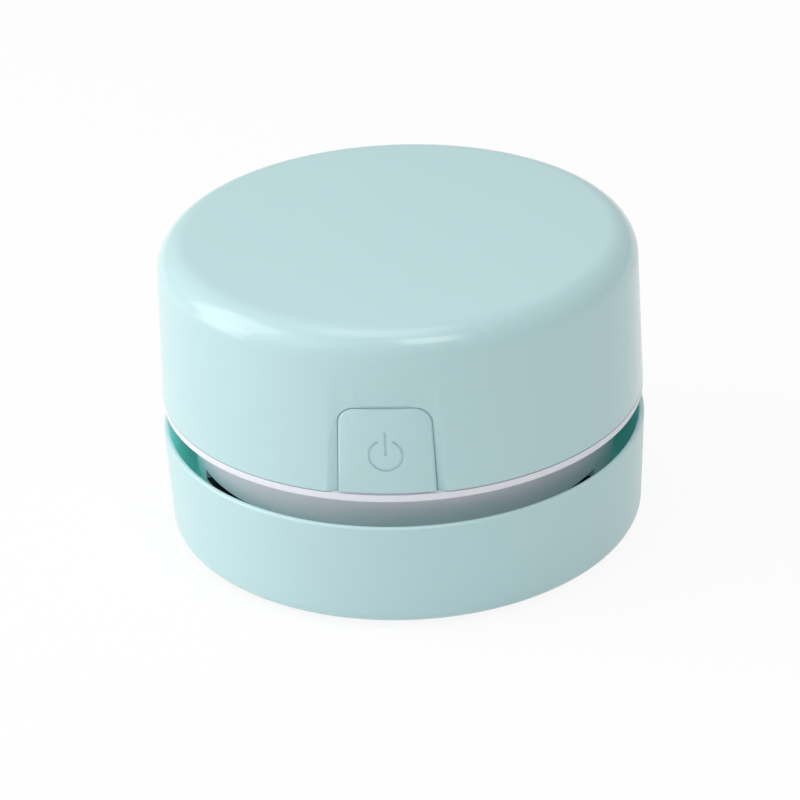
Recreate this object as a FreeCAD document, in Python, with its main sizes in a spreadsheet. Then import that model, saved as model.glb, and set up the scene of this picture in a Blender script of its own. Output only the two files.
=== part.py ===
import FreeCAD, Part

import math
import os
import re

import Sketcher

# A battery desk vacuum, in millimetres. +Z is up, the button faces -Y, and the
# origin is on the table under the middle of the bowl.

SIZES = {
    # how far a cutter runs past the face that it opens
    "cut_margin": 1.0,
    # glide feet under the bowl
    "foot_height": 0.8,
    "foot_seat": 0.4,
    "foot_radius": 3.0,
    "foot_count": 4,
    "foot_margin": 5.0,
    "glue_gap": 0.05,
    # dust bowl
    "rim_overhang": 0.3,
    "bowl_taper": 0.56,
    "bowl_height": 19.2,
    "bowl_wall": 1.0,
    "bowl_draft": 1.3,
    "bowl_floor": 1.6,
    "bowl_edge_round": 2.4,
    "rim_round": 0.45,
    # raised nozzle in the middle of the bowl
    "inlet_radius": 8.0,
    "inlet_wall": 1.4,
    "inlet_rise": 5.4,
    "nozzle_recess": 1.8,
    "sump_width": 4.7,
    # brush
    "brush_margin": 6.0,
    "brush_channel": 5.6,
    "brush_depth": 2.4,
    "brush_carrier": 2.1,
    "brush_fit": 0.1,
    "bristle_width": 3.0,
    "bristle_span": 70.0,
    "bristle_count": 4,
    "bristle_tip": 0.05,
    # twist lock between the bowl and the power unit
    "collar_inset": 0.5,
    "collar_wall": 2.6,
    "collar_height": 9.4,
    "lock_count": 3,
    "lug_depth": 1.5,
    "lug_height": 1.5,
    "lug_rise": 0.2,
    "lug_span": 12.0,
    "lock_turn": 18.0,
    "lock_gap": 0.3,
    "lock_gap_angle": 1.0,
    "seal_width": 1.0,
    "seal_height": 1.0,
    # fan housing
    "spigot_wall": 1.4,
    "spigot_drop": 3.8,
    "deck_thickness": 1.4,
    "eye_radius": 12.0,
    "ring_overhang": 5.1,
    "skirt_wall": 1.6,
    "window_height": 1.9,
    "window_count": 4,
    "window_turn": 45.0,
    "post_span": 46.0,
    "ring_gap": 5.1,
    "ring_height": 1.2,
    "groove_height": 0.25,
    "groove_depth": 0.6,
    "locating_height": 2.5,
    "locating_wall": 1.4,
    "locating_gap": 0.1,
    # top cover
    "cover_draft_angle": 2.12,
    "cover_wall": 1.8,
    "cover_roof": 2.0,
    "motor_headroom": 0.7,
    "cover_round": 5.2,
    "facet_width": 1.95,
    "facet_top_width": 0.8,
    "facet_depth": 0.9,
    "facet_top_depth": 0.35,
    "facet_drop": 1.0,
    # power button
    "button_base_width": 16.0,
    "button_top_width": 15.0,
    "button_height": 15.4,
    "button_round": 2.85,
    "button_gap": 0.3,
    "button_foot_gap": 0.15,
    "button_wall_span": 60.0,
    "notch_reach": 8.0,
    "button_travel": 1.5,
    "flange_overlap": 1.6,
    "flange_thickness": 1.2,
    "flange_gap": 0.3,
    "gate_gap": 1.3,
    "stem_radius": 3.2,
    "stem_length": 3.7,
    "icon_rise": 7.1,
    "icon_radius": 2.75,
    "icon_line": 0.4,
    "icon_depth": 0.35,
    "icon_opening": 51.0,
    "icon_stroke": 4.1,
    "icon_reach": 2.0,
    # filter
    "filter_gap": 0.1,
    "filter_rim": 6.0,
    "filter_height": 1.8,
    "filter_lift": 0.4,
    "mesh_rise": 0.8,
    "mesh_grip": 1.2,
    "mesh_thickness": 0.3,
    "filter_bar": 1.6,
    "filter_bar_bite": 0.2,
    "filter_tab": 8.0,
    "filter_tab_drop": 1.0,
    # battery frame
    "frame_plate": 1.6,
    "frame_rim": 2.29,
    "frame_fit": 0.4,
    "boss_count": 4,
    "head_gap": 0.7,
    "boss_radius": 2.3,
    "screw_radius": 0.9,
    "screw_hole": 1.1,
    "screw_length": 8.0,
    "screw_head_radius": 1.9,
    "screw_head": 1.2,
    "screw_slot": 0.5,
    "pocket_wall": 1.4,
    "pocket_height": 2.0,
    "cradle_rib": 2.0,
    "cradle_spread": 15.0,
    "end_wall": 1.4,
    "end_wall_margin": 1.0,
    "end_wall_height": 13.0,
    # AA cells
    "cell_length": 50.5,
    "cell_radius": 7.25,
    "cell_nub_radius": 2.6,
    "cell_nub": 1.0,
    "cell_clearance": 0.55,
    "motor_side_gap": 2.25,
    "contact_sheet": 0.4,
    "contact_width": 9.0,
    "contact_tab": 1.0,
    "bridge_height": 5.0,
    "spring_room": 3.1,
    "spring_wire": 0.3,
    "spring_radius": 3.0,
    "spring_turns": 2,
    # motor
    "motor_width": 15.1,
    "motor_depth": 20.1,
    "motor_length": 25.0,
    "motor_wall": 0.5,
    "motor_floor": 0.8,
    "motor_fit": 0.1,
    "motor_cap": 2.5,
    "bush_radius": 3.0,
    "bush_boss": 1.5,
    "top_boss": 0.8,
    "shaft_radius": 1.0,
    "shaft_gap": 0.03,
    "shaft_top": 0.4,
    "bush_wall": 1.0,
    "bush_seat": 2.2,
    "flat_gap": 0.35,
    "magnet_span": 90.0,
    "magnet_rise": 1.2,
    "magnet_height": 14.0,
    "air_gap": 0.45,
    "core_height": 9.6,
    "core_hub": 2.8,
    "core_neck": 2.2,
    "core_shoe": 1.2,
    "pole_gap": 24.0,
    "pole_count": 3,
    "winding_overhang": 1.4,
    "winding_width": 5.0,
    "winding_gap": 0.2,
    "commutator_radius": 2.2,
    "commutator_height": 3.4,
    "commutator_gap": 0.4,
    "brush_leaf": 0.3,
    "brush_gap": 0.08,
    "brush_width": 2.0,
    "terminal_width": 2.0,
    "terminal_sheet": 0.5,
    "terminal_reach": 2.4,
    "terminal_rise": 0.8,
    "terminal_offset": 3.5,
    "clamp_thickness": 1.6,
    "clamp_rim": 1.8,
    "clamp_rise": 17.7,
    "clamp_post_gap": 5.25,
    "clamp_post_radius": 2.3,
    # impeller
    "impeller_tip_gap": 1.7,
    "fan_roof_gap": 0.7,
    "impeller_gap": 1.0,
    "impeller_disc": 1.2,
    "hub_radius": 4.0,
    "hub_lift": 1.8,
    "blade_count": 11,
    "blade_thickness": 1.0,
    "blade_start": 8.0,
    "blade_lean": 40.0,
    # switch
    "switch_side": 7.0,
    "switch_depth": 5.5,
    "switch_wall": 1.0,
    "plunger_side": 3.0,
    "plunger_gap": 0.2,
    "plunger_reach": 4.0,
    "board_width": 15.0,
    "board_thickness": 1.0,
    "board_rise": 1.0,
    "board_height": 14.0,
    "board_screw_rise": 2.5,
    "board_screw_spread": 5.5,
    "board_screw_length": 3.4,
    "bracket_wall": 1.8,
    "return_wire": 0.2,
    "return_radius": 2.6,
    "return_turns": 4,
    # leads
    "lead_radius": 0.6,
    "lead_rise": 3.45,
    "lead_gap": 2.35,
    "lead_tail": 3.0,
    "solder_inset": 1.0,
}

# Levels and radii that follow from the sizes above.
FOLLOWING = {
    "cell_spread": "motor_width / 2 + motor_side_gap + cell_radius",
    "bay_end": "(cell_length + spring_room + 2 * contact_sheet) / 2",
    "bay_side": "cell_spread + contact_width / 2 + end_wall_margin",
    "frame_radius": "sqrt(pow(bay_side; 2) + pow(bay_end + end_wall; 2)) + frame_rim",
    "cover_taper": "tan(cover_draft_angle)",
    "locating_inner": "frame_radius + frame_fit",
    "locating_radius": "locating_inner + locating_wall",
    "cover_radius": "locating_radius + locating_gap + locating_height * cover_taper + cover_wall",
    "bowl_rim_radius": "cover_radius + rim_overhang",
    "bowl_base_radius": "bowl_rim_radius - bowl_taper",
    "skirt_radius": "cover_radius - ring_overhang",
    "collar_radius": "skirt_radius - collar_inset",
    "collar_inner": "collar_radius - collar_wall",
    "nozzle_radius": "collar_inner - sump_width - bowl_floor",
    "foot_circle": "nozzle_radius + foot_margin",
    "brush_radius": "nozzle_radius - brush_margin",
    "bowl_bottom": "foot_height",
    "bowl_rim": "foot_height + bowl_height",
    "bowl_deck": "bowl_bottom + bowl_floor",
    "nozzle_roof": "bowl_bottom + nozzle_recess",
    "nozzle_deck": "nozzle_roof + bowl_floor",
    "inlet_top": "nozzle_roof + inlet_rise",
    "brush_inner": "brush_radius - brush_channel / 2",
    "brush_outer": "brush_radius + brush_channel / 2",
    "brush_roof": "nozzle_roof + brush_depth",
    "collar_top": "bowl_deck + collar_height",
    "spigot_radius": "collar_inner - lock_gap",
    "spigot_inner": "spigot_radius - spigot_wall",
    "lug_radius": "spigot_radius + lug_depth",
    "lock_radius": "lug_radius + lock_gap",
    "deck_bottom": "collar_top + seal_height",
    "deck_top": "deck_bottom + deck_thickness",
    "spigot_bottom": "deck_bottom - spigot_drop",
    "lug_bottom": "spigot_bottom + lug_rise",
    "lug_top": "lug_bottom + lug_height",
    "window_top": "deck_top + window_height",
    "skirt_inner": "skirt_radius - skirt_wall",
    "ring_bottom": "bowl_rim + ring_gap",
    "ring_top": "ring_bottom + ring_height",
    "frame_top": "ring_top + frame_plate",
    "cell_level": "frame_top + cell_clearance + cell_radius",
    "motor_bottom": "ring_top",
    "motor_top": "motor_bottom + motor_length",
    "roof_bottom": "motor_top + top_boss + motor_headroom",
    "cover_top": "roof_bottom + cover_roof",
    "cover_top_radius": "cover_radius - (cover_top - ring_top) * cover_taper",
    "terminal_level": "motor_top - motor_cap + terminal_rise",
    "armature_middle": "motor_bottom + motor_floor + magnet_rise + magnet_height / 2",
    "magnet_outer": "motor_depth / 2 - motor_wall",
    "core_radius": "motor_width / 2 - motor_wall - flat_gap",
    "magnet_inner": "core_radius + air_gap",
    "impeller_bottom": "deck_top + impeller_gap",
    "impeller_top": "motor_bottom - frame_plate - fan_roof_gap",
    "button_bottom": "ring_top + button_foot_gap",
    "button_top": "button_bottom + button_height",
    "button_middle": "button_bottom + icon_rise",
    "flange_back": "cover_radius - cover_wall - flange_gap - flange_thickness",
    "board_front": "-(flange_back - stem_length - plunger_reach - switch_depth)",
    "bracket_place": "-board_front - board_thickness - bracket_wall",
    "switch_front": "board_front - switch_depth",
    "filter_bottom": "spigot_bottom + filter_lift",
    "filter_radius": "spigot_inner - filter_gap",
    "filter_window": "filter_radius - filter_rim",
    "mesh_bottom": "filter_bottom + mesh_rise",
    "clamp_level": "motor_bottom + clamp_rise",
    "boss_circle": "spigot_inner - screw_head_radius - head_gap",
    "boss_place": "boss_circle / sqrt(2)",
    "impeller_radius": "boss_circle - boss_radius - impeller_tip_gap",
    "clamp_post": "motor_depth / 2 + clamp_post_gap",
    "lead_side": "motor_width / 2 + lead_gap",
    "contact_top": "cell_level + cell_radius + contact_tab",
    "lead_level": "contact_top + lead_rise",
    "bush_radius_outer": "shaft_radius + shaft_gap + bush_wall",
    "core_bottom": "armature_middle - core_height / 2",
    "commutator_top": "motor_top - motor_cap - commutator_gap",
    "board_bottom": "frame_top + board_rise",
    "switch_level": "board_bottom + board_height / 2",
    "plunger_front": "switch_front - plunger_reach",
    "button_gate": "button_base_width / 2 + flange_overlap + gate_gap",
}

doc = FreeCAD.newDocument("DeskVacuum")
sheet = doc.addObject("Spreadsheet::Sheet", "Sizes")


def fill_sheet():
    """Write the driving sizes as plain numbers, then the cells that follow from them."""
    row = 0
    for name, number in SIZES.items():
        row += 1
        sheet.set(f"A{row}", name)
        sheet.set(f"B{row}", str(number))
        sheet.setAlias(f"B{row}", name)
    for name, formula in FOLLOWING.items():
        row += 1
        sheet.set(f"A{row}", name)
        sheet.set(f"B{row}", "=" + formula)
        sheet.setAlias(f"B{row}", name)
    doc.recompute()


def bound(formula):
    """The formula with each size's name pointed at its cell."""
    def cell(word):
        known = word.group() in SIZES or word.group() in FOLLOWING
        return "Sizes." + word.group() if known else word.group()
    return re.sub(r"[a-z_]+", cell, str(formula))


def value(formula):
    """What a formula comes to with the sheet's present sizes."""
    return float(sheet.evalExpression(bound(formula)))


def drive(thing, **formulas):
    """Bind properties of an object to formulas; a double underscore stands for a dot."""
    for path, formula in formulas.items():
        thing.setExpression(path.replace("__", "."), bound(formula))
    return thing


# ---- PartDesign helpers -------------------------------------------------------------

def new_body(name):
    body = doc.addObject("PartDesign::Body", name)
    body.AllowCompound = True
    return body


def new_sketch(body, name, role, lift="0", turn="0"):
    """A sketch on an origin plane, lifted along its normal or turned about its upright axis."""
    sketch = body.newObject("Sketcher::SketchObject", name)
    plane = next(part for part in body.Origin.OriginFeatures if part.Role == role)
    sketch.AttachmentSupport = [(plane, "")]
    sketch.MapMode = "FlatFace"
    upright = FreeCAD.Rotation(FreeCAD.Vector(0, 1, 0), value(turn))
    sketch.AttachmentOffset = FreeCAD.Placement(FreeCAD.Vector(0, 0, value(lift)), upright)
    drive(sketch, AttachmentOffset__Base__z=lift)
    if turn != "0":
        drive(sketch, AttachmentOffset__Rotation__Angle=turn)
    return sketch


def fix(sketch, kind, geometry, point, formula):
    """Hold a sketch point at a bound distance from the origin."""
    number = value(formula)
    index = sketch.addConstraint(Sketcher.Constraint(kind, -1, 1, geometry, point, number))
    sketch.setExpression(f"Constraints[{index}]", bound(formula))


def polygon(sketch, corners):
    """A closed outline through corners given as pairs of formulas."""
    points = [FreeCAD.Vector(value(x), value(y), 0) for x, y in corners]
    first = sketch.GeometryCount
    for start, end in zip(points, points[1:] + points[:1]):
        sketch.addGeometry(Part.LineSegment(start, end), False)
    for number in range(len(corners)):
        following = first + (number + 1) % len(corners)
        sketch.addConstraint(Sketcher.Constraint("Coincident", first + number, 2, following, 1))
    for number, (x, y) in enumerate(corners):
        fix(sketch, "DistanceX", first + number, 1, x)
        fix(sketch, "DistanceY", first + number, 1, y)
    return sketch


def circle(sketch, radius, x="0", y="0"):
    centre = FreeCAD.Vector(value(x), value(y), 0)
    upward = FreeCAD.Vector(0, 0, 1)
    added = sketch.addGeometry(Part.Circle(centre, upward, value(radius)), False)
    fix(sketch, "DistanceX", added, 3, x)
    fix(sketch, "DistanceY", added, 3, y)
    index = sketch.addConstraint(Sketcher.Constraint("Radius", added, value(radius)))
    sketch.setExpression(f"Constraints[{index}]", bound(radius))
    return sketch


def revolve(body, name, sketch, kind="Revolution", angle="360", axis="V_Axis"):
    """Turn a sketch about one of its own axes, half the angle to each side."""
    feature = body.newObject("PartDesign::" + kind, name)
    feature.Profile = sketch
    feature.ReferenceAxis = (sketch, [axis])
    feature.Midplane = True
    return drive(feature, Angle=angle)


def pad(body, name, sketch, length, kind="Pad", backwards=False):
    feature = body.newObject("PartDesign::" + kind, name)
    feature.Profile = sketch
    feature.Reversed = backwards
    return drive(feature, Length=length)


def polar(body, name, feature, count):
    """Repeat a feature evenly around Z."""
    pattern = body.newObject("PartDesign::PolarPattern", name)
    pattern.Originals = [feature]
    axis = next(part for part in body.Origin.OriginFeatures if part.Role == "Z_Axis")
    pattern.Axis = (axis, [""])
    pattern.Angle = 360
    drive(pattern, Occurrences=count)
    body.Tip = pattern
    return pattern


def round_circles(body, name, radius, rims):
    """Fillet the circular edges that have the given pairs of radius and level."""
    doc.recompute()
    base = body.Tip
    wanted = [(value(size), value(level)) for size, level in rims]
    picked = []
    for number, edge in enumerate(base.Shape.Edges, start=1):
        if not isinstance(edge.Curve, Part.Circle):
            continue
        place = (edge.Curve.Radius, edge.Curve.Center.z)
        if any(math.dist(place, rim) < 0.001 for rim in wanted):
            picked.append(f"Edge{number}")
    feature = body.newObject("PartDesign::Fillet", name)
    feature.Base = (base, picked)
    return drive(feature, Radius=radius)


def ring(name, corners):
    """A body turned about Z from its half section, corners as radius and level."""
    body = new_body(name)
    revolve(body, name + "_turn", polygon(new_sketch(body, name + "_section", "XZ_Plane"), corners))
    return body


# ---- Part helpers ---------------------------------------------------------------------

def box(name, x, y, z):
    """A block between the low and high formulas given for each axis."""
    block = doc.addObject("Part::Box", name)
    for side, axis, (low, high) in (("Length", "x", x), ("Width", "y", y), ("Height", "z", z)):
        block.setExpression(side, bound(f"({high}) - ({low})"))
        block.setExpression(f"Placement.Base.{axis}", bound(low))
    return block


def rod(name, radius, span, x="0", y="0", z="0", along="z"):
    """A cylinder along one axis, over the low and high formulas of its span."""
    low, high = span
    bar = doc.addObject("Part::Cylinder", name)
    if along == "y":
        bar.Placement.Rotation = FreeCAD.Rotation(FreeCAD.Vector(1, 0, 0), -90)
    place = {"x": x, "y": y, "z": z}
    place[along] = low
    for axis, formula in place.items():
        bar.setExpression(f"Placement.Base.{axis}", bound(formula))
    return drive(bar, Radius=radius, Height=f"({high}) - ({low})")


def fuse(name, *parts):
    joined = doc.addObject("Part::MultiFuse", name)
    joined.Shapes = list(parts)
    joined.Refine = True
    return joined


def cut(name, base, *tools):
    result = doc.addObject("Part::Cut", name)
    result.Base = base
    result.Tool = tools[0] if len(tools) == 1 else fuse(name + "_cutters", *tools)
    result.Refine = True
    return result


def common(name, base, tool):
    shared = doc.addObject("Part::Common", name)
    shared.Base = base
    shared.Tool = tool
    shared.Refine = True
    return shared


def group(name, *parts):
    """Separate solids that share one node."""
    together = doc.addObject("Part::Compound", name)
    together.Links = list(parts)
    return together


def mirror(name, source, x=0, y=0):
    """The source's mirror image across the middle plane that the normal names."""
    image = doc.addObject("Part::Mirroring", name)
    image.Source = source
    image.Normal = FreeCAD.Vector(x, y, 0)
    return image


def swept(name, edges, radius):
    """A round bar of one radius along a chain of edges that join smoothly."""
    first = edges[0]
    start = first.valueAt(first.FirstParameter)
    heading = first.tangentAt(first.FirstParameter)
    section = Part.Wire(Part.Circle(start, heading, radius).toShape())
    path = Part.Wire(edges)
    bar = doc.addObject("Part::Feature", name)
    bar.Shape = path.makePipeShell([section], True, False)
    ratio = bar.Shape.Volume / (path.Length * math.pi * radius ** 2)
    print(f"{name}: length {path.Length:.1f}, volume over section times length {ratio:.4f}")
    return bar


def coil(name, radius, wire, turns, room, x, y, z):
    """A round spring along +Y, its half turns tilted so that each one flows into the next."""
    reach, gauge = value(radius), value(wire)
    halves = 2 * round(value(turns))
    rise = (value(room) - 2 * gauge) / halves
    bulge = math.hypot(reach, rise / 2)
    centre = FreeCAD.Vector(value(x), value(y) + gauge, value(z))
    edges = []
    for half in range(halves):
        side = 1 if half % 2 == 0 else -1
        start = centre + FreeCAD.Vector(side * reach, half * rise, 0)
        middle = centre + FreeCAD.Vector(0, (half + 0.5) * rise, side * bulge)
        end = centre + FreeCAD.Vector(-side * reach, (half + 1) * rise, 0)
        edges.append(Part.Arc(start, middle, end).toShape())
    return swept(name, edges, gauge)


fill_sheet()


# ---- dust bowl ------------------------------------------------------------------------

def make_dust_bowl():
    """Bowl with a nozzle ring and brush channel below and the twist-lock collar inside."""
    body = ring("dust_bowl", [
        ("nozzle_radius", "bowl_bottom"),
        ("bowl_base_radius", "bowl_bottom"),
        ("bowl_rim_radius", "bowl_rim"),
        ("bowl_rim_radius - bowl_wall", "bowl_rim"),
        ("bowl_rim_radius - bowl_wall - bowl_draft", "bowl_deck"),
        ("collar_radius", "bowl_deck"),
        ("collar_radius", "collar_top"),
        ("collar_inner", "collar_top"),
        ("collar_inner", "bowl_deck"),
        ("nozzle_radius + bowl_floor", "bowl_deck"),
        ("nozzle_radius + bowl_floor", "nozzle_deck"),
        ("brush_outer + bowl_floor", "nozzle_deck"),
        ("brush_outer + bowl_floor", "brush_roof + bowl_floor"),
        ("brush_inner - bowl_floor", "brush_roof + bowl_floor"),
        ("brush_inner - bowl_floor", "nozzle_deck"),
        ("inlet_radius + inlet_wall", "nozzle_deck"),
        ("inlet_radius + inlet_wall", "inlet_top"),
        ("inlet_radius", "inlet_top"),
        ("inlet_radius", "nozzle_roof"),
        ("brush_inner", "nozzle_roof"),
        ("brush_inner", "brush_roof"),
        ("brush_outer", "brush_roof"),
        ("brush_outer", "nozzle_roof"),
        ("nozzle_radius", "nozzle_roof"),
    ])
    round_circles(body, "bowl_edge", "bowl_edge_round", [("bowl_base_radius", "bowl_bottom")])
    round_circles(body, "bowl_lip", "rim_round", [
        ("bowl_rim_radius", "bowl_rim"),
        ("bowl_rim_radius - bowl_wall", "bowl_rim"),
    ])
    entry = polygon(new_sketch(body, "lock_entry_section", "XZ_Plane"), [
        ("collar_inner - cut_margin", "lug_bottom - lock_gap"),
        ("lock_radius", "lug_bottom - lock_gap"),
        ("lock_radius", "collar_top + cut_margin"),
        ("collar_inner - cut_margin", "collar_top + cut_margin"),
    ])
    mouth = revolve(body, "lock_entry", entry, "Groove", "lug_span + 2 * lock_gap_angle")
    polar(body, "lock_entries", mouth, "lock_count")
    track = polygon(new_sketch(body, "lock_track_section", "XZ_Plane", turn="360 - lock_turn / 2"), [
        ("collar_inner - cut_margin", "lug_bottom - lock_gap"),
        ("lock_radius", "lug_bottom - lock_gap"),
        ("lock_radius", "lug_top + lock_gap"),
        ("collar_inner - cut_margin", "lug_top + lock_gap"),
    ])
    slot = revolve(body, "lock_track", track, "Groove", "lug_span + lock_turn + 2 * lock_gap_angle")
    polar(body, "lock_tracks", slot, "lock_count")
    seat = circle(new_sketch(body, "foot_seat_circle", "XY_Plane", lift="bowl_bottom"),
                  "foot_radius + glue_gap", x="foot_circle")
    recess = pad(body, "foot_seat_cut", seat, "foot_seat", "Pocket", backwards=True)
    polar(body, "foot_seats", recess, "foot_count")
    return body


def make_glide_feet():
    body = new_body("glide_feet")
    outline = circle(new_sketch(body, "foot_circle_sketch", "XY_Plane"), "foot_radius", x="foot_circle")
    foot = pad(body, "foot", outline, "foot_height + foot_seat")
    polar(body, "feet", foot, "foot_count")
    return body


def make_brush_ring():
    return ring("brush_ring", [
        ("brush_inner + brush_fit", "brush_roof - brush_carrier"),
        ("brush_outer - brush_fit", "brush_roof - brush_carrier"),
        ("brush_outer - brush_fit", "brush_roof"),
        ("brush_inner + brush_fit", "brush_roof"),
    ])


def make_brush_bristles():
    body = new_body("brush_bristles")
    section = polygon(new_sketch(body, "bristle_section", "XZ_Plane"), [
        ("brush_radius - bristle_width / 2", "bristle_tip"),
        ("brush_radius + bristle_width / 2", "bristle_tip"),
        ("brush_radius + bristle_width / 2", "brush_roof - brush_carrier"),
        ("brush_radius - bristle_width / 2", "brush_roof - brush_carrier"),
    ])
    strip = revolve(body, "bristle_strip", section, angle="bristle_span")
    polar(body, "bristle_strips", strip, "bristle_count")
    return body


def make_seal_ring():
    return ring("seal_ring", [
        ("lock_radius", "collar_top"),
        ("lock_radius + seal_width", "collar_top"),
        ("lock_radius + seal_width", "deck_bottom"),
        ("lock_radius", "deck_bottom"),
    ])


# ---- fan housing and filter -------------------------------------------------------------

def make_fan_housing():
    """Deck with the fan's eye, vented skirt, outer ring, locating rim and the lock spigot."""
    body = ring("fan_housing", [
        ("eye_radius", "deck_bottom"),
        ("spigot_inner", "deck_bottom"),
        ("spigot_inner", "spigot_bottom"),
        ("spigot_radius", "spigot_bottom"),
        ("spigot_radius", "deck_bottom"),
        ("skirt_radius", "deck_bottom"),
        ("skirt_radius", "ring_bottom"),
        ("cover_radius", "ring_bottom"),
        ("cover_radius", "ring_top - groove_height"),
        ("cover_radius - groove_depth", "ring_top - groove_height"),
        ("cover_radius - groove_depth", "ring_top"),
        ("locating_radius", "ring_top"),
        ("locating_radius", "ring_top + locating_height"),
        ("locating_inner", "ring_top + locating_height"),
        ("locating_inner", "ring_top"),
        ("skirt_inner", "ring_top"),
        ("skirt_inner", "deck_top"),
        ("eye_radius", "deck_top"),
    ])
    opening = polygon(new_sketch(body, "window_section", "YZ_Plane", turn="window_turn"), [
        ("skirt_inner - cut_margin", "deck_top"),
        ("skirt_radius + cut_margin", "deck_top"),
        ("skirt_radius + cut_margin", "window_top"),
        ("skirt_inner - cut_margin", "window_top"),
    ])
    window = revolve(body, "window", opening, "Groove", "360 / window_count - post_span")
    polar(body, "windows", window, "window_count")
    lug_section = polygon(new_sketch(body, "lug_section", "XZ_Plane"), [
        ("spigot_radius - spigot_wall / 2", "lug_bottom"),
        ("lug_radius", "lug_bottom"),
        ("lug_radius", "lug_top"),
        ("spigot_radius - spigot_wall / 2", "lug_top"),
    ])
    lug = revolve(body, "lug", lug_section, angle="lug_span")
    polar(body, "lugs", lug, "lock_count")
    hole = circle(new_sketch(body, "screw_hole_circle", "XY_Plane", lift="deck_bottom"),
                  "screw_hole", x="boss_place", y="boss_place")
    drilled = pad(body, "screw_hole_cut", hole, "deck_thickness", "Pocket", backwards=True)
    polar(body, "screw_holes", drilled, "boss_count")
    gate = polygon(new_sketch(body, "button_gate_outline", "XY_Plane", lift="ring_top"), [
        ("-button_gate", "-cover_radius"),
        ("button_gate", "-cover_radius"),
        ("button_gate", "-skirt_inner"),
        ("-button_gate", "-skirt_inner"),
    ])
    pad(body, "button_gate_cut", gate, "locating_height", "Pocket", backwards=True)
    return body


def make_filter_frame():
    """Push-in ring that grips the mesh, with two bars and a tab to pull it out by."""
    rim = ring("filter_rim_ring", [
        ("filter_window", "filter_bottom"),
        ("filter_radius", "filter_bottom"),
        ("filter_radius", "filter_bottom + filter_height"),
        ("filter_window", "filter_bottom + filter_height"),
        ("filter_window", "mesh_bottom + mesh_thickness"),
        ("filter_window + mesh_grip", "mesh_bottom + mesh_thickness"),
        ("filter_window + mesh_grip", "mesh_bottom"),
        ("filter_window", "mesh_bottom"),
    ])
    reach = "filter_window + filter_bar_bite"
    half = "filter_bar / 2"
    level = ("filter_bottom", "mesh_bottom")
    across = box("filter_bar_across", (f"-({reach})", reach), (f"-{half}", half), level)
    along = box("filter_bar_along", (f"-{half}", half), (f"-({reach})", reach), level)
    tab = box("filter_pull_tab", ("-filter_tab / 2", "filter_tab / 2"), (f"-{half}", half),
              ("filter_bottom - filter_tab_drop", "mesh_bottom"))
    return fuse("filter_frame", rim, across, along, tab)


def make_filter_mesh():
    return rod("filter_mesh", "filter_window + mesh_grip",
               ("mesh_bottom", "mesh_bottom + mesh_thickness"))


# ---- top cover and power button -------------------------------------------------------------

def band(name, outside, thickness, bottom, top, angle="360"):
    """Part of a wall that follows the cover's taper, set in from its outside."""
    body = new_body(name)
    low = f"cover_radius - ({outside}) - ({bottom} - ring_top) * cover_taper"
    high = f"cover_radius - ({outside}) - ({top} - ring_top) * cover_taper"
    section = polygon(new_sketch(body, name + "_section", "YZ_Plane"), [
        (f"-({low}) + ({thickness})", bottom),
        (f"-({low})", bottom),
        (f"-({high})", top),
        (f"-({high}) + ({thickness})", top),
    ])
    revolve(body, name + "_turn", section, angle=angle)
    return body


def button_outline(name, gap, bottom):
    """The button's tapered front outline with rounded top corners, run through the wall."""
    body = new_body(name)
    rise = f"(button_bottom - ({bottom}))"
    slope = "(button_base_width - button_top_width) / 2 / button_height"
    foot = f"button_base_width / 2 + ({gap}) + {rise} * {slope}"
    head = f"button_top_width / 2 + ({gap})"
    outline = polygon(new_sketch(body, name + "_sketch", "XZ_Plane", lift="cover_radius - notch_reach"), [
        (f"-({foot})", bottom),
        (foot, bottom),
        (head, f"button_top + ({gap})"),
        (f"-({head})", f"button_top + ({gap})"),
    ])
    block = pad(body, name + "_block", outline, "notch_reach + cut_margin")
    doc.recompute()
    level = value("button_top") + value(gap)
    corners = []
    for number, edge in enumerate(block.Shape.Edges, start=1):
        ends = [corner.Point for corner in edge.Vertexes]
        if all(abs(end.z - level) < 0.001 for end in ends) and abs(ends[0].x - ends[1].x) < 0.001:
            corners.append(f"Edge{number}")
    feature = body.newObject("PartDesign::Fillet", name + "_corners")
    feature.Base = (block, corners)
    drive(feature, Radius=f"button_round + ({gap})")
    return body


def make_facet():
    """Wedge that shaves the cover beside the button, narrower and shallower towards the top."""
    body = new_body("facet_cutter")
    rows = [
        ("foot", "ring_top - cut_margin", "cover_radius", "button_base_width / 2 + button_gap",
         "facet_width", "facet_depth"),
        ("head", "button_top - facet_drop", "cover_radius - (button_height - facet_drop) * cover_taper",
         "button_top_width / 2 + button_gap", "facet_top_width", "facet_top_depth"),
    ]
    sections = []
    for row, level, radius, inner, width, depth in rows:
        near = f"sqrt(pow({radius}; 2) - pow({inner}; 2))"
        far = f"sqrt(pow({radius}; 2) - pow({inner} + {width}; 2))"
        sections.append(polygon(new_sketch(body, f"facet_{row}", "XY_Plane", lift=level), [
            (f"{inner} - cut_margin", f"{depth} - {near}"),
            (inner, f"{depth} - {near}"),
            (f"{inner} + {width}", f"-{far}"),
            (f"{inner} + {width}", "-cover_radius - cut_margin"),
            (f"{inner} - cut_margin", "-cover_radius - cut_margin"),
        ]))
    loft = body.newObject("PartDesign::AdditiveLoft", "facet_loft")
    loft.Profile = sections[0]
    loft.Sections = [sections[1]]
    loft.Ruled = True
    return body


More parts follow.
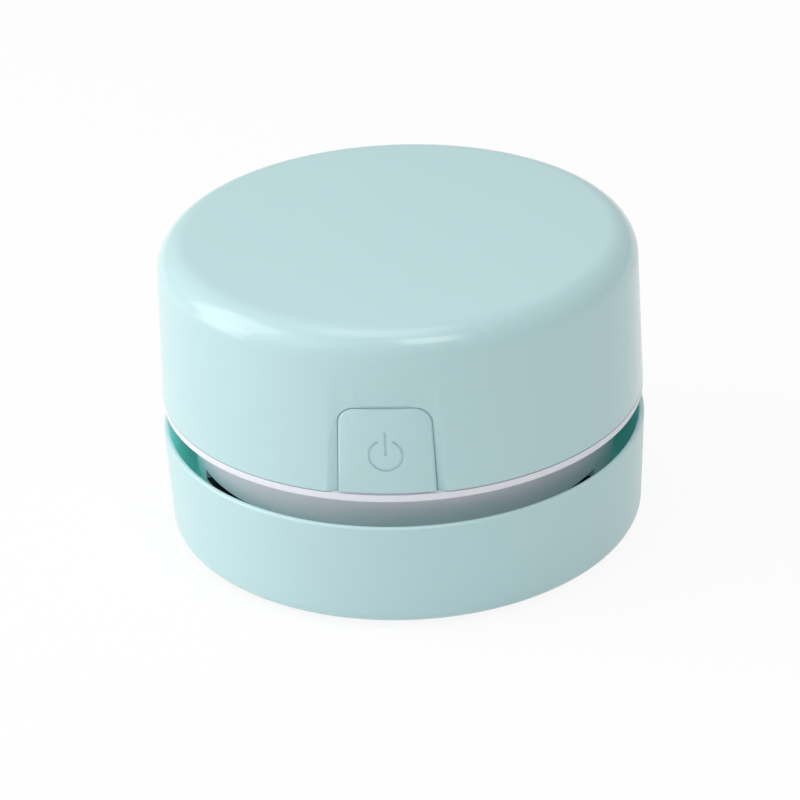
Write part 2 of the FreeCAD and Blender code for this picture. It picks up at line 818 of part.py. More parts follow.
def make_top_cover():
    """Domed cover with an open notch for the button and a facet at each side of it."""
    shell = ring("cover_shell", [
        ("cover_radius", "ring_top"),
        ("cover_top_radius", "cover_top"),
        ("0", "cover_top"),
        ("0", "roof_bottom"),
        ("cover_radius - cover_wall - (roof_bottom - ring_top) * cover_taper", "roof_bottom"),
        ("cover_radius - cover_wall", "ring_top"),
    ])
    round_circles(shell, "cover_shoulder", "cover_round", [("cover_top_radius", "cover_top")])
    inner = "cover_radius - cover_wall - (roof_bottom - ring_top) * cover_taper"
    round_circles(shell, "cover_inner_shoulder", "cover_round - cover_wall", [(inner, "roof_bottom")])
    notch = button_outline("notch_cutter", "button_gap", "ring_top - cut_margin")
    facet = make_facet()
    return cut("top_cover", shell, notch, facet, mirror("facet_mirror", facet, x=1))


def make_icon():
    """The standby sign as a cutter: an open circle and an upright stroke."""
    centre = "cover_radius - (button_middle - ring_top) * cover_taper"
    arc = new_body("icon_arc")
    section = polygon(new_sketch(arc, "icon_line_section", "YZ_Plane"), [
        ("-icon_reach", "-icon_radius - icon_line / 2"),
        ("icon_depth", "-icon_radius - icon_line / 2"),
        ("icon_depth", "-icon_radius + icon_line / 2"),
        ("-icon_reach", "-icon_radius + icon_line / 2"),
    ])
    revolve(arc, "icon_turn", section, angle="360 - icon_opening", axis="H_Axis")
    drive(arc, Placement__Base__y=f"-({centre})", Placement__Base__z="button_middle")
    stroke = box("icon_stroke_bar", ("-icon_line / 2", "icon_line / 2"),
                 (f"-({centre}) - icon_reach", f"-({centre}) + icon_depth"),
                 ("button_middle", "button_middle + icon_stroke"))
    return fuse("icon_cutter", arc, stroke)


def make_power_button():
    """Face flush with the cover, a flange behind the cover's wall and a stem to the switch."""
    face_wall = "cover_wall + flange_gap"
    plate = band("button_wall", "0", face_wall, "button_bottom", "button_top", "button_wall_span")
    face = common("button_face", plate, button_outline("button_cutter", "0", "button_bottom"))
    half = "button_base_width / 2 + flange_overlap"
    flange_wall = band("flange_wall", face_wall, "flange_thickness", "button_bottom",
                       "button_top + flange_overlap", "button_wall_span")
    window = box("flange_window", (f"-({half})", half), ("-cover_radius", "0"),
                 ("button_bottom", "cover_top"))
    flange = common("button_flange", flange_wall, window)
    stem = rod("button_stem", "stem_radius", ("-flange_back - flange_thickness / 3", "plunger_front"),
               z="switch_level", along="y")
    blank = fuse("button_blank", face, flange, stem)
    return cut("power_button", blank, make_icon())


# ---- battery frame, cells and contacts ---------------------------------------------------------

SIDES = (("left", "-1"), ("right", "1"))
ENDS = (("front", "-1"), ("rear", "1"))


def between(side, near, far):
    """Low and high formulas of a span on the negative or positive side of the middle."""
    return (f"-({far})", f"-({near})") if side == "-1" else (near, far)


def flat_sided(name, inset, span):
    """The motor's section, round with two flat sides, set in by a gap or out by a negative one."""
    barrel = rod(name + "_round", f"motor_depth / 2 - ({inset})", span)
    half = f"motor_width / 2 - ({inset})"
    flats = box(name + "_flats", (f"-({half})", half), ("-motor_depth", "motor_depth"), span)
    return common(name + "_section", barrel, flats)


def corners_of_four(place):
    """Names and positions of the four places on the diagonals."""
    return [(f"{end}_{side}", f"{x} * {place}", f"{y} * {place}")
            for side, x in SIDES for end, y in ENDS]


def make_battery_frame():
    """Plate over the fan with the cell cradles, motor pocket, switch bracket and screw bosses."""
    plate = rod("frame_disc", "frame_radius", ("ring_top", "frame_top"))
    solid = [plate]
    removed = [box("frame_gate", ("-button_gate", "button_gate"), ("-cover_radius", "-skirt_inner"),
                   ("ring_top - cut_margin", "frame_top + cut_margin"))]
    for corner, x, y in corners_of_four("boss_place"):
        solid.append(rod("frame_boss_" + corner, "boss_radius", ("deck_top", "frame_top"), x, y))
        removed.append(rod("frame_pilot_" + corner, "screw_radius",
                           ("deck_top", "deck_bottom + screw_length"), x, y))
    for side, x in SIDES:
        for end, y in ENDS:
            across = between(x, "cell_spread - cell_radius", "cell_spread + cell_radius")
            along = between(y, "cradle_spread - cradle_rib / 2", "cradle_spread + cradle_rib / 2")
            solid.append(box(f"cradle_{side}_{end}", across, along, ("frame_top", "cell_level")))
            across = between(x, "cell_spread - contact_width / 2 - end_wall_margin", "bay_side")
            along = between(y, "bay_end", "bay_end + end_wall")
            solid.append(box(f"end_wall_{side}_{end}", across, along,
                             ("frame_top", "frame_top + end_wall_height")))
        removed.append(rod("cell_bed_" + side, "cell_radius", ("-bay_end", "bay_end"),
                           x=f"{x} * cell_spread", z="cell_level", along="y"))
    for end, y in ENDS:
        solid.append(rod("clamp_post_" + end, "clamp_post_radius", ("frame_top", "clamp_level"),
                         y=f"{y} * clamp_post"))
        removed.append(rod("clamp_pilot_" + end, "screw_radius",
                           ("clamp_level + clamp_thickness - screw_length", "clamp_level"),
                           y=f"{y} * clamp_post"))
    solid.append(flat_sided("pocket_wall", "-motor_fit - pocket_wall",
                            ("motor_bottom - frame_plate", "frame_top + pocket_height")))
    removed.append(flat_sided("pocket_room", "-motor_fit",
                              ("motor_bottom", "frame_top + pocket_height")))
    removed.append(rod("shaft_opening", "bush_radius + motor_fit",
                       ("motor_bottom - frame_plate", "motor_bottom")))
    solid.append(box("switch_bracket", ("-board_width / 2", "board_width / 2"),
                     ("-(bracket_place + bracket_wall)", "-bracket_place"),
                     ("frame_top", "board_bottom + board_height")))
    for side, x in SIDES:
        removed.append(rod("bracket_pilot_" + side, "screw_radius",
                           ("-(bracket_place + bracket_wall)", "-bracket_place"),
                           x=f"{x} * board_screw_spread",
                           z="board_bottom + board_screw_rise", along="y"))
    return cut("battery_frame", fuse("frame_solid", *solid), *removed)


def screw(name, seat, length, outwards, x="0", y="0", z="0", along="z"):
    """A slotted pan-head screw whose head stands outwards from its seat."""
    if outwards == "1":
        head, shank = (seat, f"{seat} + screw_head"), (f"{seat} - {length}", seat)
        slot = (f"{seat} + screw_head / 2", f"{seat} + screw_head + cut_margin")
    else:
        head, shank = (f"{seat} - screw_head", seat), (seat, f"{seat} + {length}")
        slot = (f"{seat} - screw_head - cut_margin", f"{seat} - screw_head / 2")
    top = rod(name + "_head", "screw_head_radius", head, x, y, z, along)
    pin = rod(name + "_shank", "screw_radius", shank, x, y, z, along)
    centre = z if along == "y" else y
    reach = "screw_head_radius + cut_margin"
    long_way = (f"{centre} - ({reach})", f"{centre} + {reach}")
    across = (f"{x} - screw_slot / 2", f"{x} + screw_slot / 2")
    groove = box(name + "_slot", across, *((slot, long_way) if along == "y" else (long_way, slot)))
    return cut(name, fuse(name + "_blank", top, pin), groove)


def make_housing_screws():
    return group("housing_screws", *[
        screw("housing_screw_" + corner, "deck_bottom", "screw_length", "-1", x, y)
        for corner, x, y in corners_of_four("boss_place")])


def make_cell(name, x, plus_end):
    """An AA cell along Y, its nub against the plate at its plus end."""
    plate = "bay_end - contact_sheet"
    can = rod(name + "_can", "cell_radius",
              between(plus_end, f"{plate} - cell_length", f"{plate} - cell_nub"),
              x=x, z="cell_level", along="y")
    nub = rod(name + "_nub", "cell_nub_radius", between(plus_end, f"{plate} - cell_nub", plate),
              x=x, z="cell_level", along="y")
    return fuse(name, can, nub)


def contact_plate(name, x, end):
    half = "contact_width / 2"
    return box(name, (f"{x} - {half}", f"{x} + {half}"),
               between(end, "bay_end - contact_sheet", "bay_end"),
               ("frame_top + cell_clearance", "contact_top"))


def make_bridge_contact():
    """One strip behind both cells that joins them in series."""
    half = "cell_spread + contact_width / 2"
    return box("bridge_contact", (f"-({half})", half), ("bay_end - contact_sheet", "bay_end"),
               ("cell_level - bridge_height / 2", "cell_level + bridge_height / 2"))


def contact_spring(name, x, end):
    start = "-(bay_end - contact_sheet)" if end == "-1" else "bay_end - contact_sheet - spring_room"
    return coil(name, "spring_radius", "spring_wire", "spring_turns", "spring_room",
                x, start, "cell_level")


# ---- motor ------------------------------------------------------------------------------------

def make_motor_can():
    outer = flat_sided("can_outer", "0", ("motor_bottom", "motor_top"))
    boss = rod("can_boss", "bush_radius", ("motor_bottom - bush_boss", "motor_bottom"))
    hollow = flat_sided("can_hollow", "motor_wall", ("motor_bottom + motor_floor", "motor_top"))
    bore = rod("can_bore", "bush_radius_outer",
               ("motor_bottom - bush_boss", "motor_bottom + motor_floor"))
    half = "terminal_offset + terminal_width / 2 + motor_fit"
    notch = box("can_notch", (f"-({half})", half), ("0", "motor_depth"),
                ("terminal_level - motor_fit", "motor_top"))
    return cut("motor_can", fuse("can_blank", outer, boss), hollow, bore, notch)


def make_motor_brushes():
    """Two leaf brushes beside the commutator, each bent out to a solder terminal."""
    pieces = []
    near = "commutator_radius + brush_gap"
    for side, x in SIDES:
        leaf = box("brush_leaf_" + side, between(x, near, f"{near} + brush_leaf"),
                   ("-brush_width / 2", "brush_width / 2"),
                   ("commutator_top - commutator_height", "terminal_level + terminal_sheet"))
        strip = box("terminal_" + side, between(x, near, "terminal_offset + terminal_width / 2"),
                    ("-brush_width / 2", "motor_depth / 2 + terminal_reach"),
                    ("terminal_level", "terminal_level + terminal_sheet"))
        pieces.append(fuse("motor_brush_" + side, leaf, strip))
    return group("motor_brushes", *pieces)


def make_motor_end_cap(brushes):
    plug = flat_sided("cap_plug", "motor_wall", ("motor_top - motor_cap", "motor_top"))
    boss = rod("cap_boss", "bush_radius", ("motor_top", "motor_top + top_boss"))
    bore = rod("cap_bore", "bush_radius_outer",
               ("motor_top - motor_cap", "motor_top + top_boss"))
    return cut("motor_end_cap", cut("cap_bored", fuse("cap_blank", plug, boss), bore), brushes)


def tube(name, inner, outer, span):
    return cut(name, rod(name + "_outer", outer, span), rod(name + "_inner", inner, span))


def make_motor_bushes():
    bore = "shaft_radius + shaft_gap"
    lower = ("motor_bottom - bush_boss", "motor_bottom + motor_floor")
    upper = ("motor_top + top_boss - bush_seat", "motor_top + top_boss")
    return group("motor_bushes", tube("bush_lower", bore, "bush_radius_outer", lower),
                 tube("bush_upper", bore, "bush_radius_outer", upper))


def make_motor_magnets():
    body = new_body("motor_magnets")
    bottom, top = "armature_middle - magnet_height / 2", "armature_middle + magnet_height / 2"
    section = polygon(new_sketch(body, "magnet_section", "YZ_Plane"), [
        ("magnet_inner", bottom),
        ("magnet_outer", bottom),
        ("magnet_outer", top),
        ("magnet_inner", top),
    ])
    magnet = revolve(body, "magnet", section, angle="magnet_span")
    polar(body, "magnets", magnet, "2")
    return body


def make_motor_clamp():
    """Bridge that grips the motor and is screwed to the two posts."""
    span = ("clamp_level", "clamp_level + clamp_thickness")
    half_x, half_y = "motor_width / 2 + clamp_rim", "clamp_post + clamp_post_radius"
    plate = box("clamp_plate", (f"-({half_x})", half_x), (f"-({half_y})", half_y), span)
    opening = flat_sided("clamp_opening", "0", span)
    holes = [rod("clamp_hole_" + end, "screw_hole", span, y=f"{y} * clamp_post") for end, y in ENDS]
    return cut("motor_clamp", plate, opening, *holes)


def make_clamp_screws():
    return group("clamp_screws", *[
        screw("clamp_screw_" + end, "clamp_level + clamp_thickness", "screw_length", "1",
              y=f"{y} * clamp_post") for end, y in ENDS])


# ---- rotor ---------------------------------------------------------------------------------------

def make_motor_shaft():
    return rod("motor_shaft", "shaft_radius", ("impeller_bottom + hub_lift", "motor_top + shaft_top"))


def make_armature_core():
    """Three-pole laminated core."""
    body = new_body("armature_core")
    top = "core_bottom + core_height"
    hub = polygon(new_sketch(body, "core_hub_section", "XZ_Plane"), [
        ("shaft_radius", "core_bottom"), ("core_hub", "core_bottom"),
        ("core_hub", top), ("shaft_radius", top)])
    revolve(body, "core_hub_turn", hub)
    shoe = polygon(new_sketch(body, "core_shoe_section", "XZ_Plane"), [
        ("core_radius - core_shoe", "core_bottom"), ("core_radius", "core_bottom"),
        ("core_radius", top), ("core_radius - core_shoe", top)])
    neck = polygon(new_sketch(body, "core_neck_outline", "XY_Plane", lift="core_bottom"), [
        ("core_hub - shaft_radius / 2", "-core_neck / 2"),
        ("core_radius - core_shoe / 2", "-core_neck / 2"),
        ("core_radius - core_shoe / 2", "core_neck / 2"),
        ("core_hub - shaft_radius / 2", "core_neck / 2")])
    polar(body, "core_necks", pad(body, "core_neck_pad", neck, "core_height"), "pole_count")
    turned = revolve(body, "core_shoe_turn", shoe, angle="360 / pole_count - pole_gap")
    polar(body, "core_shoes", turned, "pole_count")
    return body


def make_windings(core):
    """One coil of wire round each neck of the core."""
    body = new_body("winding_blocks")
    outline = polygon(new_sketch(body, "winding_outline", "XY_Plane",
                                 lift="core_bottom - winding_overhang"), [
        ("core_hub + winding_gap", "-winding_width / 2"),
        ("core_radius - core_shoe - winding_gap", "-winding_width / 2"),
        ("core_radius - core_shoe - winding_gap", "winding_width / 2"),
        ("core_hub + winding_gap", "winding_width / 2")])
    block = pad(body, "winding_block", outline, "core_height + 2 * winding_overhang")
    polar(body, "winding_pattern", block, "pole_count")
    return cut("windings", body, core)


def make_commutator():
    return tube("commutator", "shaft_radius", "commutator_radius",
                ("commutator_top - commutator_height", "commutator_top"))


def make_impeller():
    """Centrifugal fan open towards the eye, with straight blades that lean backwards."""
    body = ring("impeller", [
        ("shaft_radius", "impeller_bottom + hub_lift"),
        ("hub_radius", "impeller_bottom + hub_lift"),
        ("hub_radius", "impeller_top - impeller_disc"),
        ("impeller_radius", "impeller_top - impeller_disc"),
        ("impeller_radius", "impeller_top"),
        ("shaft_radius", "impeller_top"),
    ])
    reach = "(impeller_radius - blade_thickness)"
    tip_x, tip_y = f"{reach} * cos(blade_lean)", f"{reach} * sin(blade_lean)"
    half = "blade_thickness / 2"
    outline = polygon(new_sketch(body, "blade_outline", "XY_Plane", lift="impeller_bottom"), [
        ("blade_start", f"-{half}"), (tip_x, f"{tip_y} - {half}"),
        (tip_x, f"{tip_y} + {half}"), ("blade_start", half)])
    blade = pad(body, "blade", outline, "impeller_top - impeller_bottom - impeller_disc / 2")
    polar(body, "blades", blade, "blade_count")
    return body


# ---- switch and leads -----------------------------------------------------------------------------

def make_switch_body():
    half, bore = "switch_side / 2", "(plunger_side / 2 + plunger_gap)"
    case = box("switch_case", (f"-{half}", half), ("switch_front", "board_front"),
               (f"switch_level - {half}", f"switch_level + {half}"))
    well = box("switch_well", (f"-{bore}", bore), ("switch_front", "board_front - switch_wall"),
               (f"switch_level - {bore}", f"switch_level + {bore}"))
    return cut("switch_body", case, well)


def make_switch_board():
    plate = box("board_plate", ("-board_width / 2", "board_width / 2"),
                ("board_front", "board_front + board_thickness"),
                ("board_bottom", "board_bottom + board_height"))
    holes = [rod("board_hole_" + side, "screw_hole", ("board_front", "board_front + board_thickness"),
                 x=f"{x} * board_screw_spread", z="board_bottom + board_screw_rise", along="y")
             for side, x in SIDES]
    return cut("switch_board", plate, *holes)


def make_board_screws():
    return group("board_screws", *[
        screw("board_screw_" + side, "board_front", "board_screw_length", "-1",
              x=f"{x} * board_screw_spread", z="board_bottom + board_screw_rise", along="y")
        for side, x in SIDES])


def make_switch_plunger():
    half = "plunger_side / 2"
    return box("switch_plunger", (f"-{half}", half),
               ("plunger_front", "board_front - switch_wall - plunger_gap - button_travel"),
               (f"switch_level - {half}", f"switch_level + {half}"))


def make_button_spring():
    return coil("button_spring", "return_radius", "return_wire", "return_turns", "plunger_reach",
                "0", "plunger_front", "switch_level")


def lead(name, stops):
    """A soldered lead of straight runs joined by tangent arcs as large as its runs allow."""
    points = [FreeCAD.Vector(*[value(number) for number in stop]) for stop in stops]
    edges, start = [], points[0]
    for before, corner, after in zip(points, points[1:], points[2:]):
        back, ahead = (before - corner).normalize(), (after - corner).normalize()
        reach = 0.45 * min(before.distanceToPoint(corner), corner.distanceToPoint(after))
        half_turn = (math.pi - back.getAngle(ahead)) / 2
        radius = reach / math.tan(half_turn)
        middle = corner + (back + ahead).normalize() * (radius / math.cos(half_turn) - radius)
        leave, join = corner + back * reach, corner + ahead * reach
        edges.append(Part.LineSegment(start, leave).toShape())
        edges.append(Part.Arc(leave, middle, join).toShape())
        start = join
        print(f"{name}: bend radius {radius:.1f}")
    edges.append(Part.LineSegment(start, points[-1]).toShape())
    return swept(name, edges, value("lead_radius"))


TAB = ("bay_end - contact_sheet - lead_radius", "contact_top - lead_radius")
PAD = ("board_front - lead_radius", "board_bottom + board_height - solder_inset")


def make_battery_lead():
    """From the plus contact's tab to the switch board."""
    inner = "cell_spread - contact_width / 2"
    return lead("battery_lead", [
        (f"-({inner} + lead_tail)", f"-({TAB[0]})", TAB[1]),
        (f"-({inner} - lead_tail)", f"-({TAB[0]})", f"{TAB[1]} + lead_radius * 4 / 3"),
        ("-board_width / 3", PAD[0], TAB[1]),
        ("-board_width / 3 + lead_radius", PAD[0], f"{PAD[1]} - 2 * lead_radius")])


def terminal_run(side):
    """Stops from the side channel beside the motor round to a terminal's end."""
    end_y = "motor_depth / 2 + terminal_reach + lead_radius"
    return [(f"{side} * lead_side", "-motor_depth / 2", "lead_level"),
            (f"{side} * (lead_side + lead_radius / 2)", "motor_depth / 4", "lead_level + lead_radius"),
            (f"{side} * (lead_side - 2 * lead_radius)", end_y, "terminal_level"),
            (f"{side} * (terminal_offset - lead_radius)", end_y, "terminal_level + lead_radius / 2")]


def make_motor_lead():
    """From the switch board up and past the motor to its left terminal."""
    return lead("motor_lead", [
        ("lead_radius", PAD[0], PAD[1]), ("0", PAD[0], "lead_level"),
        ("-(lead_side - lead_tail)", "-motor_depth", "lead_level + lead_radius")]
        + terminal_run("-1"))


def make_return_lead():
    """From the motor's right terminal forward to the minus contact's tab."""
    return lead("return_lead", [
        ("cell_spread - lead_radius", f"-({TAB[0]})", TAB[1]),
        ("cell_spread - contact_width / 2 - lead_radius", "-bay_end + lead_tail", "lead_level")]
        + terminal_run("1"))


# ---- the nodes --------------------------------------------------------------------------------------

def make_nodes():
    brushes, core = make_motor_brushes(), make_armature_core()
    return [
        make_dust_bowl(), make_glide_feet(), make_brush_ring(), make_brush_bristles(),
        make_seal_ring(),
        make_fan_housing(), make_filter_frame(), make_filter_mesh(), make_battery_frame(),
        make_housing_screws(), make_cell("battery_left", "-cell_spread", "-1"),
        make_cell("battery_right", "cell_spread", "1"),
        contact_plate("positive_contact", "-cell_spread", "-1"),
        contact_plate("negative_contact", "cell_spread", "-1"), make_bridge_contact(),
        contact_spring("negative_spring", "cell_spread", "-1"),
        contact_spring("bridge_spring", "-cell_spread", "1"),
        make_motor_can(), make_motor_end_cap(brushes), brushes, make_motor_bushes(),
        make_motor_magnets(), make_motor_clamp(), make_clamp_screws(),
        make_motor_shaft(), core, make_windings(core), make_commutator(), make_impeller(),
        make_switch_body(), make_switch_board(), make_board_screws(), make_switch_plunger(),
        make_button_spring(), make_battery_lead(), make_motor_lead(), make_return_lead(),
        make_power_button(), make_top_cover(),
    ]


def check(nodes):
    """Stop if any object failed to compute or any node has no valid solid."""
    for item in doc.Objects:
        if "Invalid" in item.State or "Error" in item.State:
            raise RuntimeError(f"{item.Name} failed: {item.State}")
    for node in nodes:
        if node.Shape.isNull() or not node.Shape.isValid() or not node.Shape.Solids:
            raise RuntimeError(f"{node.Name} has no valid solid")


def write(nodes):
    os.makedirs("parts", exist_ok=True)
    for node in nodes:
        node.Label = node.Name
        node.Shape.exportStep(f"parts/{node.Label}.step")


nodes = make_nodes()
doc.recompute()
check(nodes)
write(nodes)
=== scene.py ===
"""A palm-size desk vacuum cleaner, dressed for display.

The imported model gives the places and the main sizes. Lengths are in metres, and MM
turns millimetres into metres. The shells are turned from profiles, what repeats is
made by Geometry Nodes, and each finish is a small node graph on Object coordinates.
"""

import math

import bmesh
import bpy
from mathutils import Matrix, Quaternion, Vector


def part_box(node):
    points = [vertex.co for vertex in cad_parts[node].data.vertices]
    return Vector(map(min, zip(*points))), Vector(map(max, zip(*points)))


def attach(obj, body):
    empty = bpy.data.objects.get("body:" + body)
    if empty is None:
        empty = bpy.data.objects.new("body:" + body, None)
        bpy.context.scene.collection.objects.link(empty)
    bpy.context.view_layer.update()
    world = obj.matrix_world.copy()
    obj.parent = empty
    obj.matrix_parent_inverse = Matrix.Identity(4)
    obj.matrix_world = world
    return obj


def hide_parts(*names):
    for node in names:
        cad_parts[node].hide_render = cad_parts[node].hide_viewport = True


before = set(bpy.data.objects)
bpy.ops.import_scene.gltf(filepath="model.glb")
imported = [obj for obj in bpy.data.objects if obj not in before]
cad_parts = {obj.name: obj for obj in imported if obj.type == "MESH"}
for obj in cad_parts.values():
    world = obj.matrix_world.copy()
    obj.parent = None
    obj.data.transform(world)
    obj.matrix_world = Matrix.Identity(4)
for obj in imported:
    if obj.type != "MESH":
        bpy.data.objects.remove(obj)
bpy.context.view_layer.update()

MM = 0.001
FULL_TURN = 2 * math.pi
WELD = 0.001 * MM
SMOOTH_ANGLE = math.radians(32)
ROD_SIDES = 32

# camera
IMAGE_SIDE = 800
FOCAL_PIXELS = 2679.8
SENSOR_WIDTH = 36
CAMERA_AZIMUTH = 4.45
CAMERA_ELEVATION = 27.02
CAMERA_DISTANCE = 0.4736
CAMERA_AIM = Vector((0, 0, 0.0308))
CAMERA_TURNS = (((0, 0, 1), -2.37), ((1, 0, 0), -1.023), ((0, 1, 0), 0.033))

# light
SKY_LEVEL = 0.52
FLOOR_HALF = 3.0
FLOOR_GLOW = 0.9
LAMPS = {
    # place, side and power of each square lamp
    "key_lamp": (Vector((-0.64, -0.03, 0.46)), 0.50, 2.27),
    "low_lamp": (Vector((-0.80, -0.10, 0.12)), 0.40, 1.45),
    "corner_lamp": (Vector((-0.50, -0.40, 0.42)), 0.40, 0.35),
    "front_lamp": (Vector((0.10, -0.26, 0.44)), 0.16, 0.35),
    "top_lamp": (Vector((-0.05, 0.0, 0.60)), 0.30, 0.5),
}


# ---- node graphs --------------------------------------------------------------------------------

class Wire:
    """An output socket that can be used in sums; each sum adds its Math nodes."""

    def __init__(self, graph, socket):
        self.graph = graph
        self.socket = socket

    def maths(self, operation, *others):
        """A Math node whose first value is this wire."""
        return self.graph.maths(operation, self, *others)

    def __add__(self, other):
        return self.maths("ADD", other)

    def __sub__(self, other):
        return self.maths("SUBTRACT", other)

    def __rsub__(self, other):
        return self.graph.maths("SUBTRACT", other, self)

    def __mul__(self, other):
        return self.maths("MULTIPLY", other)

    def __truediv__(self, other):
        return self.maths("DIVIDE", other)

    __radd__ = __add__
    __rmul__ = __mul__

    def beside(self, name):
        """Another output of the same node."""
        return Wire(self.graph, self.socket.node.outputs[name])


class Graph:
    """A node tree that is written as expressions."""

    def __init__(self, tree):
        self.tree = tree
        tree.nodes.clear()

    def node(self, kind, settings=None, inputs=None, output=0):
        """Adds a node: first its settings, then the values or links of its sockets.

        A list gives several links to a socket that takes more than one.
        """
        made = self.tree.nodes.new(kind)
        for name, value in (settings or {}).items():
            if name == "stops":
                self.set_stops(made.color_ramp, value)
            else:
                setattr(made, name, value)
        for key, value in (inputs or {}).items():
            for item in value if isinstance(value, list) else [value]:
                self.plug(made.inputs[key], item)
        return Wire(self, made.outputs[output]) if made.outputs else None

    def plug(self, socket, value):
        """Links a wire to a socket, or gives the socket a value of its own."""
        if isinstance(value, Wire):
            self.tree.links.new(value.socket, socket)
        else:
            socket.default_value = value

    def maths(self, operation, *values):
        return self.node("ShaderNodeMath", {"operation": operation}, dict(enumerate(values)))

    def split(self, vector):
        """The X, Y and Z of a vector."""
        x = self.node("ShaderNodeSeparateXYZ", {}, {"Vector": vector}, "X")
        return x, x.beside("Y"), x.beside("Z")

    @staticmethod
    def set_stops(ramp, stops):
        while len(ramp.elements) < len(stops):
            ramp.elements.new(1)
        for element, (position, colour) in zip(ramp.elements, stops):
            element.position = position
            element.color = colour


def srgb(red, green, blue):
    """A colour written as three numbers up to 255, as the linear colour that a node takes."""
    def linear(level):
        share = level / 255
        return share / 12.92 if share <= 0.04045 else ((share + 0.055) / 1.055) ** 2.4
    return (linear(red), linear(green), linear(blue), 1)


class Finish(Graph):
    """A material: constants on the shader's own sockets, and patterns by wire."""

    coat = None  # the clouded colour, before a finish changes it by place

    def __init__(self, name, **constants):
        self.material = bpy.data.materials.new(name)
        self.material.use_nodes = True
        super().__init__(self.material.node_tree)
        settings = {socket.replace("_", " "): value for socket, value in constants.items()}
        self.shader = self.node("ShaderNodeBsdfPrincipled", {}, settings)
        self.node("ShaderNodeOutputMaterial", {}, {"Surface": self.shader})
        self.place = self.node("ShaderNodeTexCoord", output="Object")

    def feed(self, socket, wire):
        self.plug(self.shader.socket.node.inputs[socket], wire)

    def axes(self):
        return self.split(self.place)

    def radius(self):
        """Distance from the middle axis."""
        x, y = self.axes()[:2]
        return (x * x + y * y).maths("SQRT")

    def noise(self, size, detail=2.0):
        """A cloudy pattern from 0 to 1 whose clouds are about size across."""
        inputs = {"Vector": self.place, "Scale": 1 / size, "Detail": detail}
        return self.node("ShaderNodeTexNoise", {}, inputs)

    def mix(self, share, first, second):
        """A colour that goes from first to second as share goes from 0 to 1."""
        return self.node("ShaderNodeMix", {"data_type": "RGBA"}, {0: share, 6: first, 7: second}, 2)

    def emboss(self, height, depth):
        """Raises the surface by height, from 0 to 1, times depth."""
        self.feed("Normal", self.node("ShaderNodeBump", {}, {"Height": height, "Distance": depth}))


# ---- camera, light and floor --------------------------------------------------------------------

def add(name, data):
    thing = bpy.data.objects.new(name, data)
    bpy.context.scene.collection.objects.link(thing)
    return thing


def make_camera():
    data = bpy.data.cameras.new("camera")
    data.sensor_width = SENSOR_WIDTH
    data.lens = FOCAL_PIXELS / IMAGE_SIDE * SENSOR_WIDTH
    camera = add("camera", data)
    around, above = math.radians(CAMERA_AZIMUTH), math.radians(CAMERA_ELEVATION)
    level = math.cos(above)
    back = Vector((math.sin(around) * level, -math.cos(around) * level, math.sin(above)))
    turn = (-back).to_track_quat("-Z", "Y")
    for axis, angle in CAMERA_TURNS:
        turn = turn @ Quaternion(axis, math.radians(angle))
    camera.location = CAMERA_AIM + back * CAMERA_DISTANCE
    camera.rotation_mode = "QUATERNION"
    camera.rotation_quaternion = turn
    bpy.context.scene.camera = camera


def seen_directly(graph):
    """1 for rays from the camera, a mirror or glass, and 0 for the rays that carry light."""
    path = graph.node("ShaderNodeLightPath", output="Is Camera Ray")
    either = path.maths("MAXIMUM", path.beside("Is Glossy Ray"))
    return either.maths("MAXIMUM", path.beside("Is Transmission Ray"))


def make_sky():
    """A plain sky."""
    world = bpy.data.worlds.new("sky")
    world.use_nodes = True
    bpy.context.scene.world = world
    graph = Graph(world.node_tree)
    light = graph.node("ShaderNodeBackground", {}, {"Color": srgb(255, 255, 255), "Strength": SKY_LEVEL})
    graph.node("ShaderNodeOutputWorld", {}, {"Surface": light})


def make_lamp(name, place, size, power):
    data = bpy.data.lights.new(name, "AREA")
    data.size = size
    data.energy = power
    lamp = add(name, data)
    lamp.location = place
    lamp.rotation_mode = "QUATERNION"
    lamp.rotation_quaternion = (CAMERA_AIM - place).to_track_quat("-Z", "Y")


def make_floor():
    """A white floor that glows for the camera and still takes the object's shadow."""
    mesh = bpy.data.meshes.new("floor")
    corners = [(x * FLOOR_HALF, y * FLOOR_HALF, 0) for x, y in ((-1, -1), (1, -1), (1, 1), (-1, 1))]
    mesh.from_pydata(corners, [], [(0, 1, 2, 3)])
    material = bpy.data.materials.new("floor_white")
    material.use_nodes = True
    graph = Graph(material.node_tree)
    matt = graph.node("ShaderNodeBsdfDiffuse", {}, {"Color": srgb(244, 244, 244)})
    glow = graph.node("ShaderNodeEmission", {}, {"Color": srgb(255, 255, 255), "Strength": 1.0})
    share = seen_directly(graph) * FLOOR_GLOW
    surface = graph.node("ShaderNodeMixShader", {}, {0: share, 1: matt, 2: glow})
    graph.node("ShaderNodeOutputMaterial", {}, {"Surface": surface})
    mesh.materials.append(material)
    add("floor", mesh)


# ---- finishes -----------------------------------------------------------------------------------

CLOUD_SIZE = 26 * MM
GLOSS_SWING = 0.06
SKIN_SIZE = 1.2 * MM
SKIN_DEPTH = 0.002 * MM
METAL_CLOUD = 4 * MM
METAL_SWING = 0.16
SCRATCH_SIZE = 0.3 * MM
SCRATCH_DEPTH = 0.004 * MM


def moulded(name, colour, shade, roughness, **constants):
    """Moulded plastic: cloudy colour and gloss, and a very fine skin."""
    finish = Finish(name, Roughness=roughness, **constants)
    cloud = finish.noise(CLOUD_SIZE)
    finish.coat = finish.mix(cloud, shade, colour)
    finish.feed("Base Color", finish.coat)
    finish.feed("Roughness", roughness - GLOSS_SWING / 2 + cloud * GLOSS_SWING)
    finish.emboss(finish.noise(SKIN_SIZE, 1), SKIN_DEPTH)
    return finish


